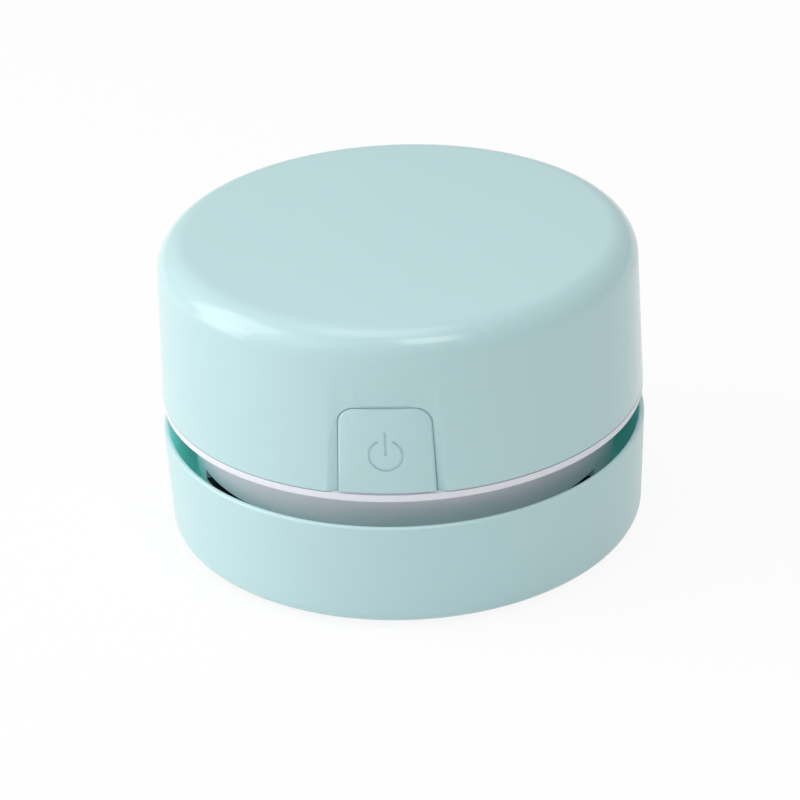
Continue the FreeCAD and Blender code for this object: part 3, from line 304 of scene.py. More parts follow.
def metal(name, colour, shade, roughness):
    """Rolled or ground metal with fine scratches and clouded brightness."""
    finish = Finish(name, Metallic=1.0, Roughness=roughness)
    scratch = finish.noise(SCRATCH_SIZE, 4)
    finish.feed("Base Color", finish.mix(finish.noise(METAL_CLOUD, 4), shade, colour))
    finish.feed("Roughness", roughness - METAL_SWING / 2 + scratch * METAL_SWING)
    finish.emboss(scratch, SCRATCH_DEPTH)
    return finish


MINT = srgb(187, 218, 220)
MINT_SHADE = srgb(184, 216, 218)
WHITE = srgb(236, 228, 237)
WHITE_SHADE = srgb(232, 224, 233)
# painted shade: the ring's cooler, less red white stands in for how the ring is lit; it is the housing's
# own plastic
RING_SHADED_WHITE = srgb(229, 230, 238)
BLACK = srgb(0, 0, 0)
# painted shade: black inside the fan chamber
PAINTED_CHAMBER_SHADE = srgb(22, 30, 32)
# painted light on the bowl: the inner wall's deeper mint and the glows on its inner wall and lip
PAINTED_DEEP_MINT = srgb(120, 210, 198)
PAINTED_THROUGH_GLOW = srgb(72, 150, 143)
PAINTED_LIP_GLOW = srgb(112, 128, 126)

# where the bowl's inner wall gets a deeper painted colour and a painted glow, which stand in for light
# through the wall, and where its rim's lip gets a painted glow
INSIDE_RADIUS = 42.05 * MM
INSIDE_FADE = 0.3 * MM
TROUGH_RADIUS = 36.95 * MM
TROUGH_LEVEL = 2.2 * MM
GLOW_STRENGTH = 0.83
LIT_FROM = 20 * MM
LIT_BEHIND = (16 * MM, -4 * MM)
LIT_BEFORE = (-26 * MM, -12 * MM)
GLOW_SWING = 0.24
GLOW_LEAST = 0.2
LIP_LEVELS = (19.65 * MM, 19.95 * MM)
LIP_SWING = 0.35
LIP_LEAST = 0.4

# where the housing is painted black as shade inside the fan chamber and on the vents' sills, and where its
# ring's painted cooler white begins
CHAMBER_RADIUS = 36.0 * MM
CHAMBER_LEVELS = (14.1 * MM, 26.2 * MM)
SILL_LEVEL = 14.3 * MM
SILL_REACH = 1.35 * MM
RING_RADIUS = 38.5 * MM


def ramp(finish, value, start, end):
    """0 at the start and 1 at the end, straight between them and level beyond."""
    return finish.node("ShaderNodeMapRange", {}, {"Value": value, "From Min": start, "From Max": end})


def bowl_plastic():
    """The mint of the bowl, with painted light: a deeper colour and a glow on the inner wall, strongest
    towards -X, stand in for light through the wall, and a glow on the rim's lip is a painted highlight.
    """
    finish = moulded("mint_bowl_plastic", MINT, MINT_SHADE, 0.30, Emission_Strength=GLOW_STRENGTH)
    x, y, level = finish.axes()
    radius = finish.radius()
    far = ramp(finish, radius, INSIDE_RADIUS - INSIDE_FADE, INSIDE_RADIUS)
    middle = radius.maths("LESS_THAN", TROUGH_RADIUS)
    outside = far.maths("MAXIMUM", level.maths("LESS_THAN", TROUGH_LEVEL)).maths("MAXIMUM", middle)
    # painted light: the deeper mint of the inner wall stands in for light coming through the wall
    finish.feed("Base Color", finish.mix(outside, PAINTED_DEEP_MINT, finish.coat))
    # painted light: a glow on the inner wall, strongest on the -X side where the lamps shine
    lit = ramp(finish, x, LIT_FROM, -INSIDE_RADIUS)
    near = ramp(finish, y, *LIT_BEHIND) * ramp(finish, y, *LIT_BEFORE)
    through = (lit * near).maths("MAXIMUM", lit * GLOW_SWING + GLOW_LEAST)
    glow = finish.mix((1 - outside) * through, BLACK, PAINTED_THROUGH_GLOW)
    # painted highlight: a glow along the rim's lip, stronger towards -X
    lip = outside * ramp(finish, level, *LIP_LEVELS) * (lit * LIP_SWING + LIP_LEAST)
    finish.feed("Emission Color", finish.mix(lip, glow, PAINTED_LIP_GLOW))
    return finish


def housing_plastic():
    """The white of the fan housing, with painted shade: black inside the fan chamber and on the vents'
    sills, and a cooler white on its ring for how the ring is lit.
    """
    finish = moulded("white_plastic", WHITE, WHITE_SHADE, 0.38)
    level = finish.axes()[2]
    radius = finish.radius()
    # painted shade: black inside the fan chamber, reaching out over the vents' sills
    sill = level.maths("LESS_THAN", SILL_LEVEL) * SILL_REACH
    inside = radius.maths("LESS_THAN", sill + CHAMBER_RADIUS)
    above = level.maths("GREATER_THAN", CHAMBER_LEVELS[0])
    below = level.maths("LESS_THAN", CHAMBER_LEVELS[1])
    # painted shade: a cooler white on the ring, the same plastic as the rest of the housing
    white = finish.mix(radius.maths("GREATER_THAN", RING_RADIUS), finish.coat, RING_SHADED_WHITE)
    finish.feed("Base Color", finish.mix(inside * above * below, white, PAINTED_CHAMBER_SHADE))
    return finish


CELL_BODY = srgb(52, 122, 112)
CELL_SHADE = srgb(46, 112, 104)
CELL_PALE = srgb(214, 220, 216)
CELL_METAL = srgb(204, 204, 200)
CELL_CLOUD = 6 * MM
CELL_BAND = 13 * MM
CELL_END = 25.1 * MM


def cell_sleeve():
    """A printed sleeve with a pale band at the plus end, and bare metal at both ends."""
    finish = moulded("cell_sleeve", CELL_BODY, CELL_BODY, 0.3)
    x, y = finish.axes()[:2]
    along = y * x.maths("SIGN")
    band = along.maths("GREATER_THAN", CELL_BAND)
    end = y.maths("ABSOLUTE").maths("GREATER_THAN", CELL_END)
    print_tone = finish.mix(finish.noise(CELL_CLOUD), CELL_SHADE, CELL_BODY)
    body = finish.mix(band, print_tone, CELL_PALE)
    finish.feed("Base Color", finish.mix(end, body, CELL_METAL))
    finish.feed("Metallic", end)
    return finish


FINISHES = {
    "mint_shell": bowl_plastic(),
    "mint_cover": moulded("mint_cover_plastic", MINT, MINT_SHADE, 0.2),
    "mint_button": moulded("mint_button_plastic", MINT, MINT_SHADE, 0.34),
    "white_shell": housing_plastic(),
    "foot_rubber": moulded("foot_rubber", srgb(202, 206, 206), srgb(190, 195, 195), 0.75),
    "seal_rubber": moulded("seal_rubber", srgb(124, 127, 130), srgb(110, 113, 116), 0.6),
    "brush_base": moulded("brush_plastic", srgb(132, 136, 138), srgb(122, 126, 128), 0.5),
    "bristle_nylon": moulded("bristle_nylon", srgb(116, 119, 122), srgb(92, 95, 98), 0.4),
    "filter_cloth": moulded("filter_cloth", srgb(240, 240, 236), srgb(222, 224, 220), 0.7),
    "cell_sleeve": cell_sleeve(),
    "cap_nylon": moulded("cap_nylon", srgb(238, 236, 226), srgb(228, 226, 214), 0.5),
    "black_plastic": moulded("black_plastic", srgb(38, 38, 40), srgb(28, 28, 30), 0.45),
    "board_laminate": moulded("board_laminate", srgb(176, 142, 92), srgb(160, 126, 78), 0.55),
    "red_lead": moulded("red_insulation", srgb(190, 36, 34), srgb(170, 28, 28), 0.42),
    "black_lead": moulded("black_insulation", srgb(34, 34, 36), srgb(24, 24, 26), 0.42),
    "fan_plastic": moulded("fan_plastic", srgb(52, 56, 58), srgb(40, 44, 46), 0.4),
    "white_plunger": moulded("white_plunger", srgb(236, 236, 232), srgb(226, 226, 222), 0.45),
    "ferrite": moulded("ferrite", srgb(58, 56, 56), srgb(44, 43, 43), 0.7),
    "zinc_steel": metal("zinc_steel", srgb(196, 200, 204), srgb(170, 176, 182), 0.34),
    "nickel_strip": metal("nickel_strip", srgb(206, 202, 192), srgb(184, 180, 170), 0.28),
    "motor_steel": metal("motor_steel", srgb(188, 190, 192), srgb(162, 165, 168), 0.36),
    "brass_leaf": metal("brass_leaf", srgb(214, 178, 100), srgb(190, 152, 82), 0.32),
    "bronze_bush": metal("bronze_bush", srgb(184, 136, 84), srgb(150, 108, 64), 0.5),
    "ground_steel": metal("ground_steel", srgb(200, 202, 204), srgb(184, 186, 190), 0.22),
    "core_steel": metal("core_steel", srgb(140, 140, 142), srgb(112, 112, 116), 0.5),
    "enamel_wire": metal("enamel_wire", srgb(186, 92, 48), srgb(150, 66, 34), 0.34),
    "spring_steel": metal("spring_steel", srgb(178, 180, 184), srgb(150, 152, 158), 0.3),
}


def finish_nodes():
    """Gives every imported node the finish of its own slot."""
    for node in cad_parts.values():
        for place in node.material_slots:
            place.material = FINISHES[place.material.name.split(".")[0]].material


# ---- shapes made by Geometry Nodes --------------------------------------------------------------

class Recipe(Graph):
    """A Geometry Nodes tree with named inputs, which makes one finished mesh at a time."""

    def __init__(self, name, **ports):
        super().__init__(bpy.data.node_groups.new(name, "GeometryNodeTree"))
        self.tree.interface.new_socket("Geometry", in_out="OUTPUT", socket_type="NodeSocketGeometry")
        for port, kind in ports.items():
            self.tree.interface.new_socket(port, in_out="INPUT", socket_type=f"NodeSocket{kind}")
        self.ports = self.node("NodeGroupInput")

    def port(self, name):
        return self.ports.beside(name)

    def here(self):
        """The X, Y and Z of each point."""
        return self.split(self.node("GeometryNodeInputPosition"))

    def bent(self, reach, angle, level):
        """The place at a distance from the Z axis, at an angle round it and at a level."""
        return self.node("ShaderNodeCombineXYZ", {}, {
            "X": reach * angle.maths("COSINE"), "Y": reach * angle.maths("SINE"), "Z": level})

    def around(self, geometry):
        """Equal copies of the geometry round the Z axis."""
        spots = self.node("GeometryNodeMeshLine", {}, {"Count": self.port("Copies"), "Offset": (0, 0, 0)})
        number = self.node("GeometryNodeInputIndex")
        turn = self.node("ShaderNodeCombineXYZ", {}, {"Z": number * FULL_TURN / self.port("Copies")})
        return self.node("GeometryNodeInstanceOnPoints", {}, {
            "Points": spots, "Instance": geometry, "Rotation": turn})

    def closing(self, geometry):
        """Ends the tree: real geometry with its material."""
        real = self.node("GeometryNodeRealizeInstances", {}, {"Geometry": geometry})
        painted = self.node("GeometryNodeSetMaterial", {},
                            {"Geometry": real, "Material": self.port("Material")})
        self.node("NodeGroupOutput", {}, {"Geometry": painted})

    def make(self, name, start, **values):
        """Runs the tree on a starting mesh and returns the result as a plain mesh object."""
        raw = bpy.data.objects.new(name + "_raw", start)
        modifier = raw.modifiers.new("recipe", "NODES")
        modifier.node_group = self.tree
        for item in self.tree.interface.items_tree:
            if item.in_out == "INPUT" and item.name in values:
                modifier[item.identifier] = values[item.name]
        bpy.context.scene.collection.objects.link(raw)
        return settle(raw, name)


def settle(raw, name):
    """Turns an object with modifiers into a plain mesh object of that name."""
    bpy.context.view_layer.update()
    done = raw.evaluated_get(bpy.context.evaluated_depsgraph_get())
    mesh = bpy.data.meshes.new_from_object(done)
    bpy.data.objects.remove(raw)
    mesh.name = name
    return add(name, mesh)


def weld(mesh):
    """Joins doubled points and turns every face outwards."""
    build = bmesh.new()
    build.from_mesh(mesh)
    bmesh.ops.remove_doubles(build, verts=build.verts, dist=WELD)
    bmesh.ops.dissolve_degenerate(build, edges=build.edges, dist=WELD)
    bmesh.ops.recalc_face_normals(build, faces=build.faces)
    build.to_mesh(mesh)
    build.free()


def turning_recipe():
    """Sweeps a closed profile through an angle about Z, in one or more equal copies.

    The profile is swept along a straight rail first, whose length is the angle, and
    then bent round, so that the ends of a short sector are exact.
    """
    recipe = Recipe("turned_wall", Profile="Geometry", Segments="Int", Start="Float", Sweep="Float",
                    Copies="Int", Steps="Int", Material="Material")
    loop = recipe.node("GeometryNodeMeshToCurve", {}, {"Mesh": recipe.port("Profile")})
    round_of = recipe.node("GeometryNodeInputNamedAttribute", {"data_type": "FLOAT"}, {"Name": "round"})
    rounded = recipe.node("GeometryNodeFilletCurve", {"mode": "POLY"}, {
        "Curve": loop, "Count": recipe.port("Steps"), "Radius": round_of, "Limit Radius": True})
    upright = recipe.node("GeometryNodeTransform", {}, {
        "Geometry": rounded, "Rotation": (math.pi / 2, 0, 0)})
    end = recipe.node("ShaderNodeCombineXYZ", {}, {"Y": recipe.port("Sweep")})
    line = recipe.node("GeometryNodeCurvePrimitiveLine", {}, {"End": end})
    rail = recipe.node("GeometryNodeResampleCurve", {"mode": "COUNT"}, {
        "Curve": line, "Count": recipe.port("Segments") + 1})
    level = recipe.node("GeometryNodeSetCurveNormal", {"mode": "Z_UP"}, {"Curve": rail})
    caps = recipe.maths("LESS_THAN", recipe.port("Sweep"), FULL_TURN - WELD)
    straight = recipe.node("GeometryNodeCurveToMesh", {}, {
        "Curve": level, "Profile Curve": upright, "Fill Caps": caps})
    reach, angle, height = recipe.here()
    bent = recipe.bent(reach, angle + recipe.port("Start"), height)
    wall = recipe.node("GeometryNodeSetPosition", {}, {"Geometry": straight, "Position": bent})
    recipe.closing(recipe.around(wall))
    return recipe


TURNING = turning_recipe()


def profile_mesh(corners):
    """A closed outline in the XZ plane; each corner is (radius, height, rounding)."""
    mesh = bpy.data.meshes.new("profile")
    count = len(corners)
    points = [(reach, 0, level) for reach, level, _ in corners]
    mesh.from_pydata(points, [(i, (i + 1) % count) for i in range(count)], [])
    rounding = mesh.attributes.new("round", "FLOAT", "POINT")
    rounding.data.foreach_set("value", [corner[2] for corner in corners])
    return mesh


def turned(name, slot, corners, start=0.0, sweep=FULL_TURN, copies=1, segments=180, steps=8):
    """A ring, or equal sectors of one, with the given profile."""
    piece = TURNING.make(name, profile_mesh(corners), Segments=segments, Start=start, Sweep=sweep,
                         Copies=copies, Steps=steps, Material=FINISHES[slot].material)
    weld(piece.data)
    return piece


def sector(name, slot, radii, levels, middle, span, copies, segments=12):
    """Equal curved blocks round the axis; middle and span are angles in degrees."""
    (inner, outer), (low, high) = radii, levels
    corners = [(inner, low, 0), (outer, low, 0), (outer, high, 0), (inner, high, 0)]
    start = math.radians(middle - span / 2)
    return turned(name, slot, corners, start, math.radians(span), copies, segments)


def merge(piece, other, operation="DIFFERENCE"):
    """Cuts the other piece away from this one, or joins it on, and uses the other up."""
    name = piece.name
    piece.name = name + "_before"
    modifier = piece.modifiers.new("merge", "BOOLEAN")
    modifier.operation = operation
    modifier.solver = "EXACT"
    modifier.object = other
    done = settle(piece, name)
    bpy.data.objects.remove(other)
    weld(done.data)
    return done


def show(piece, slot, body, *nodes):
    """Finishes a piece: one material, smooth faces, and what it rides on and stands for."""
    piece.data.materials.clear()
    piece.data.materials.append(FINISHES[slot].material)
    piece.data.shade_smooth()
    piece.data.set_sharp_from_angle(angle=SMOOTH_ANGLE)
    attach(piece, body)
    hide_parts(*nodes)


def solid(name, build):
    """Turns what was built into a mesh object whose faces look outwards."""
    bmesh.ops.recalc_face_normals(build, faces=build.faces)
    mesh = bpy.data.meshes.new(name)
    build.to_mesh(mesh)
    build.free()
    return add(name, mesh)


def prism(name, outline, near, far):
    """A straight block along Y with the given (x, z) outline."""
    build = bmesh.new()
    front = [build.verts.new((x, near, z)) for x, z in outline]
    back = [build.verts.new((x, far, z)) for x, z in outline]
    build.faces.new(front)
    build.faces.new(back)
    for i, start in enumerate(front):
        j = (i + 1) % len(front)
        build.faces.new((start, front[j], back[j], back[i]))
    return solid(name, build)


def loft(name, sections):
    """A closed body through sections that have as many points each."""
    build = bmesh.new()
    rows = [[build.verts.new(spot) for spot in section] for section in sections]
    for row, after in zip(rows, rows[1:]):
        for i, start in enumerate(row):
            j = (i + 1) % len(row)
            build.faces.new((start, row[j], after[j], after[i]))
    build.faces.new(rows[0])
    build.faces.new(rows[-1])
    return solid(name, build)


def rod(radius, x, y, low, high):
    """A round bar along Z."""
    turns = [FULL_TURN * i / ROD_SIDES for i in range(ROD_SIDES)]
    return loft("rod", [[(x + radius * math.cos(turn), y + radius * math.sin(turn), level)
                         for turn in turns] for level in (low, high)])


def arc(radius, level, start, sweep, steps):
    """Points (x, z) on an arc round (0, level), one more than there are steps."""
    turns = [start + sweep * step / steps for step in range(steps + 1)]
    return [(radius * math.cos(turn), level + radius * math.sin(turn)) for turn in turns]


def heading(path, i):
    """The direction of a path of (x, z) points at its point i."""
    before, after = Vector(path[max(i - 1, 0)]), Vector(path[min(i + 1, len(path) - 1)])
    return (after - before).normalized()


# ---- top cover ----------------------------------------------------------------------------------

COVER_WALL = 1.8 * MM
COVER_ROOF = 2.0 * MM
COVER_SHOULDER = 5.2 * MM
COVER_LIP = 0.12 * MM
SHOULDER_STEPS = 14
COVER_FOOT, COVER_TOP, COVER_RISE = 42.5, 41.44, 28.5
COVER_TAPER = (COVER_FOOT - COVER_TOP) / COVER_RISE
BUTTON_FOOT = 8.0 * MM
BUTTON_HEAD = 7.5 * MM
BUTTON_TOP = 41.85 * MM
BUTTON_BOTTOM = 26.45 * MM
BUTTON_CORNER = 2.85 * MM
BUTTON_GAP = 0.16 * MM
NOTCH_DEPTH = 8 * MM

# width and depth of the slanted facet round the button: at its foot, its shoulder and its top
FACET_FOOT = (1.95 * MM, 0.9 * MM)
FACET_HEAD = (0.8 * MM, 0.35 * MM)
FACET_TOP = (0.4 * MM, 0.05 * MM)
FACET_STEPS = 12

EDGE_ROUND = 0.32 * MM
EDGE_SEGMENTS = 3
FACES_FRONT = -0.6
FACES_SIDE = 0.25
NOTCH_ROUND = 0.1 * MM
COLLAR_REACH = 0.11 * MM
COLLAR_DEPTH = 0.45 * MM
CAP_BITE = 0.4 * MM
SKIN_START = math.radians(-120)
SKIN_SWEEP = math.radians(60)
SKIN_SEGMENTS = 90
FLANGE_DEPTH = (2.1 * MM, 3.3 * MM)
FLANGE_RISE = 1.6 * MM
FLANGE_HALF = 9.6 * MM
STEM_RADIUS = 3.2 * MM
STEM_SIDES = 40
STEM_LEVEL = 35.9 * MM
STEM_SPAN = (-39.6 * MM, -35.5 * MM)
ICON_LEVEL = 33.55 * MM
ICON_RADIUS = 2.75 * MM
ICON_LINE = 0.4 * MM
ICON_DEPTH = 0.2 * MM
ICON_OPENING = 51
ICON_STROKE = 4.1 * MM
ICON_STEPS = 60
STROKE_STEPS = 4


def cover_radius_at(level):
    low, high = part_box("top_cover")
    return high.x - (level - low.z) * COVER_TAPER


def cover_shell():
    low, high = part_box("top_cover")
    roof = high.z - COVER_ROOF
    return turned("cover_shell", "mint_cover", [
        (high.x, low.z, COVER_LIP),
        (cover_radius_at(high.z), high.z, COVER_SHOULDER),
        (0, high.z, 0),
        (0, roof, 0),
        (cover_radius_at(roof) - COVER_WALL, roof, COVER_SHOULDER - COVER_WALL),
        (high.x - COVER_WALL, low.z, COVER_LIP),
    ], steps=SHOULDER_STEPS)


def button_outline(gap, bottom, steps=8):
    """The button's front outline with its rounded top corners, as (x, z) points."""
    slope = (BUTTON_FOOT - BUTTON_HEAD) / (BUTTON_TOP - BUTTON_BOTTOM)
    foot = BUTTON_FOOT + gap + (BUTTON_BOTTOM - bottom) * slope
    lean = math.atan(slope)
    corner = BUTTON_CORNER + gap
    middle_x = BUTTON_HEAD + gap + corner * slope - corner / math.cos(lean)
    middle_z = BUTTON_TOP + gap - corner
    right = [(foot, bottom)]
    for step in range(steps + 1):
        angle = lean + (math.pi / 2 - lean) * step / steps
        right.append((middle_x + corner * math.cos(angle), middle_z + corner * math.sin(angle)))
    return right + [(-x, z) for x, z in reversed(right)]


def soften(piece, width):
    """Rounds the edges where a side face meets a face that looks to the front."""
    build = bmesh.new()
    build.from_mesh(piece.data)
    edges = []
    for edge in build.edges:
        if len(edge.link_faces) == 2:
            looks = sorted(face.normal.y for face in edge.link_faces)
            corner = looks[0] < FACES_FRONT and abs(looks[1]) < FACES_SIDE
            if corner and edge.verts[0].co.z < BUTTON_TOP + MM:
                edges.append(edge)
    bmesh.ops.bevel(build, geom=edges, offset=width, offset_type="OFFSET", segments=EDGE_SEGMENTS,
                    profile=0.5, affect="EDGES", clamp_overlap=False)
    build.to_mesh(piece.data)
    build.free()


def cover_front(x, z):
    """Y of the cover's front surface."""
    return -math.sqrt(cover_radius_at(z) ** 2 - x ** 2)


def blend(low, high, share):
    share = min(max(share, 0), 1)
    return [a + (b - a) * share for a, b in zip(low, high)]


def facet_band():
    """What is shaved off the cover round the button: broad and deep at the foot, fading to the top."""
    outline = button_outline(BUTTON_GAP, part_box("top_cover")[0].z - MM, FACET_STEPS)
    outside = -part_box("top_cover")[1].x - MM
    corner = BUTTON_TOP - BUTTON_CORNER
    sections = []
    for i, (x, z) in enumerate(outline):
        along = heading(outline, i)
        out_x, out_z = along.y, -along.x
        side = blend(FACET_FOOT, FACET_HEAD, (z - BUTTON_BOTTOM) / (corner - BUTTON_BOTTOM))
        width, depth = blend(side, FACET_TOP, (z - corner) / BUTTON_CORNER)
        edge_x, edge_z = x + out_x * width, z + out_z * width
        void_x, void_z = x - out_x * MM / 2, z - out_z * MM / 2
        low = cover_front(x, z) + depth
        sections.append([(void_x, low, void_z), (x, low, z), (edge_x, cover_front(edge_x, edge_z), edge_z),
                         (edge_x, outside, edge_z), (void_x, outside, void_z)])
    return loft("facet_band", sections)


def make_cover():
    shell = cover_shell()
    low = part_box("top_cover")[0]
    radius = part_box("top_cover")[1].x
    notch = prism("notch", button_outline(BUTTON_GAP, low.z - MM), -radius - MM, NOTCH_DEPTH - radius)
    shell = merge(shell, notch)
    shell = merge(shell, facet_band())
    soften(shell, NOTCH_ROUND)
    show(shell, "mint_cover", "cover", "top_cover")


def skin(name, near, far, low, high):
    """Part of a cone wall inside the cover's surface, between two depths and two levels."""
    corners = [(cover_radius_at(level) - depth, level, 0)
               for level, depth in ((low, far), (low, near), (high, near), (high, far))]
    return turned(name, "mint_button", corners, SKIN_START, SKIN_SWEEP, segments=SKIN_SEGMENTS)


def in_surface(name, outline, near, far, top):
    """The part of a straight block that lies between two depths in the cover's surface."""
    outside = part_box("top_cover")[1].x + MM
    block = prism(name, outline, -outside, -outside / 2)
    return merge(block, skin(name + "_wall", near, far, BUTTON_BOTTOM - MM, top + MM), "INTERSECT")


def ribbon(name, path, width, depth):
    """A flat bar of even width along a path of (x, z) points, down to a depth in the cover's surface."""
    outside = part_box("top_cover")[1].x + MM
    sections = []
    for i, point in enumerate(path):
        along = heading(path, i)
        across = Vector((-along.y, along.x)) * width / 2
        one, two = Vector(point) + across, Vector(point) - across
        far = cover_front(*point) + depth
        sections.append([(one.x, -outside, one.y), (two.x, -outside, two.y),
                         (two.x, far, two.y), (one.x, far, one.y)])
    return loft(name, sections)


def make_button():
    """The button's face on the cover's surface, the flange behind it, its stem and its sign."""
    back = FLANGE_DEPTH[0] + CAP_BITE
    face = in_surface("button_cap", button_outline(0, BUTTON_BOTTOM), 0, back, BUTTON_TOP)
    soften(face, EDGE_ROUND)
    rim = button_outline(COLLAR_REACH, BUTTON_BOTTOM)
    face = merge(face, in_surface("collar", rim, COLLAR_DEPTH, back, BUTTON_TOP), "UNION")
    top = BUTTON_TOP + FLANGE_RISE
    plate = [(-FLANGE_HALF, BUTTON_BOTTOM), (FLANGE_HALF, BUTTON_BOTTOM),
             (FLANGE_HALF, top), (-FLANGE_HALF, top)]
    face = merge(face, in_surface("flange", plate, *FLANGE_DEPTH, top), "UNION")
    stem = arc(STEM_RADIUS, STEM_LEVEL, 0, FULL_TURN, STEM_SIDES)[:-1]
    face = merge(face, prism("stem", stem, *STEM_SPAN), "UNION")
    half = math.radians(ICON_OPENING / 2)
    circle = arc(ICON_RADIUS, ICON_LEVEL, math.pi / 2 + half, FULL_TURN - 2 * half, ICON_STEPS)
    stroke = [(0, ICON_LEVEL + ICON_STROKE * step / STROKE_STEPS) for step in range(STROKE_STEPS + 1)]
    for path in (circle, stroke):
        face = merge(face, ribbon("sign", path, ICON_LINE, ICON_DEPTH))
    show(face, "mint_button", "button", "power_button")


# ---- dust bowl ----------------------------------------------------------------------------------

# where a pair of radii is given, the first is the inner face and the second the outer
BOWL_BASE = 42.24 * MM
BOWL_WALL = 1.0 * MM
BOWL_INSIDE_FOOT = 40.5 * MM
BOWL_EDGE = 2.4 * MM
RIM_ROUND = 0.45 * MM
FOOT_ROUND = 0.6 * MM
ROUND = 0.3 * MM
SMALL_ROUND = 0.2 * MM
TIGHT_ROUND = 0.1 * MM
BOWL_DECK = 2.4 * MM
COLLAR = (34.3 * MM, 36.9 * MM)
COLLAR_TOP = 11.8 * MM
NOZZLE = (28 * MM, 29.6 * MM)
NOZZLE_ROOF = 2.6 * MM
NOZZLE_DECK = 4.2 * MM
CHANNEL = (19.2 * MM, 24.8 * MM)
CHANNEL_SHELL = (17.6 * MM, 26.4 * MM)
CHANNEL_ROOF = 5 * MM
CHANNEL_DECK = 6.6 * MM
INLET = (8 * MM, 9.4 * MM)
INLET_TOP = 8 * MM
LOCK_RADII = (33.3 * MM, 35.8 * MM)
LOCK_BOTTOM = 8.9 * MM
ENTRY_TOP = 12.8 * MM
TRACK_TOP = 11.0 * MM
LOCKS = 3

# middle and span, in degrees
ENTRY_TURN = (0, 14)
TRACK_TURN = (-9, 32)
LUG_TURN = (0, 12)
WINDOW_TURN = (45, 40)

FOOT_PLACE = 33 * MM
FOOT_SEAT = 3.05 * MM
FOOT_SEAT_DEPTH = 0.4 * MM
FEET = 4


def make_bowl():
    low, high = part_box("dust_bowl")
    bowl = turned("bowl_shell", "mint_shell", [
        (NOZZLE[0], low.z, 0),
        (BOWL_BASE, low.z, BOWL_EDGE),
        (high.x, high.z, RIM_ROUND),
        (high.x - BOWL_WALL, high.z, RIM_ROUND),
        (BOWL_INSIDE_FOOT, BOWL_DECK, FOOT_ROUND),
        (COLLAR[1], BOWL_DECK, ROUND),
        (COLLAR[1], COLLAR_TOP, SMALL_ROUND),
        (COLLAR[0], COLLAR_TOP, SMALL_ROUND),
        (COLLAR[0], BOWL_DECK, ROUND),
        (NOZZLE[1], BOWL_DECK, ROUND),
        (NOZZLE[1], NOZZLE_DECK, ROUND),
        (CHANNEL_SHELL[1], NOZZLE_DECK, SMALL_ROUND),
        (CHANNEL_SHELL[1], CHANNEL_DECK, ROUND),
        (CHANNEL_SHELL[0], CHANNEL_DECK, ROUND),
        (CHANNEL_SHELL[0], NOZZLE_DECK, SMALL_ROUND),
        (INLET[1], NOZZLE_DECK, ROUND),
        (INLET[1], INLET_TOP, ROUND),
        (INLET[0], INLET_TOP, ROUND),
        (INLET[0], NOZZLE_ROOF, ROUND),
        (CHANNEL[0], NOZZLE_ROOF, TIGHT_ROUND),
        (CHANNEL[0], CHANNEL_ROOF, TIGHT_ROUND),
        (CHANNEL[1], CHANNEL_ROOF, TIGHT_ROUND),
        (CHANNEL[1], NOZZLE_ROOF, TIGHT_ROUND),
        (NOZZLE[0], NOZZLE_ROOF, SMALL_ROUND),
    ])
    entries = sector("entries", "mint_shell", LOCK_RADII, (LOCK_BOTTOM, ENTRY_TOP), *ENTRY_TURN, LOCKS)
    bowl = merge(bowl, entries)
    tracks = sector("tracks", "mint_shell", LOCK_RADII, (LOCK_BOTTOM, TRACK_TOP), *TRACK_TURN, LOCKS)
    bowl = merge(bowl, tracks)
    for foot in range(FEET):
        turn = foot * math.pi / 2
        x, y = FOOT_PLACE * math.cos(turn), FOOT_PLACE * math.sin(turn)
        bowl = merge(bowl, rod(FOOT_SEAT, x, y, low.z - MM, low.z + FOOT_SEAT_DEPTH))
    show(bowl, "mint_shell", "dust_bowl", "dust_bowl")


# ---- fan housing --------------------------------------------------------------------------------

DECK_HOLE = 12 * MM
DECK = (12.8 * MM, 14.2 * MM)
SPIGOT = (32.6 * MM, 34 * MM)
SKIRT = (35.8 * MM, 37.4 * MM)
SKIRT_FOOT_ROUND = 0.4 * MM
RING_BOTTOM = 24.85 * MM
RING_TOP = 26.3 * MM
RING_ROOT_ROUND = 0.5 * MM
RING_LOWER_ROUND = 0.25 * MM
RING_UPPER_ROUND = 0.12 * MM
STEP_RADIUS = 42 * MM
STEP_LEVEL = 26.12 * MM
LOCATOR = (39.1 * MM, 40.6 * MM)
LOCATOR_TOP = 28.8 * MM
WINDOW_RADII = (35.6 * MM, 38.4 * MM)
WINDOW_LEVELS = (14.2 * MM, 16.1 * MM)
WINDOWS = 4
WINDOW_SEGMENTS = 24
SCREW_PLACE = 21.21 * MM
SCREW_HOLE = 1.1 * MM
SCREW_LEVELS = (12 * MM, 15 * MM)
LUG_RADII = (33.3 * MM, 35.5 * MM)
LUG_LEVELS = (9.2 * MM, 10.7 * MM)
GATE_HALF = 10.95 * MM
GATE_TOP = 30 * MM


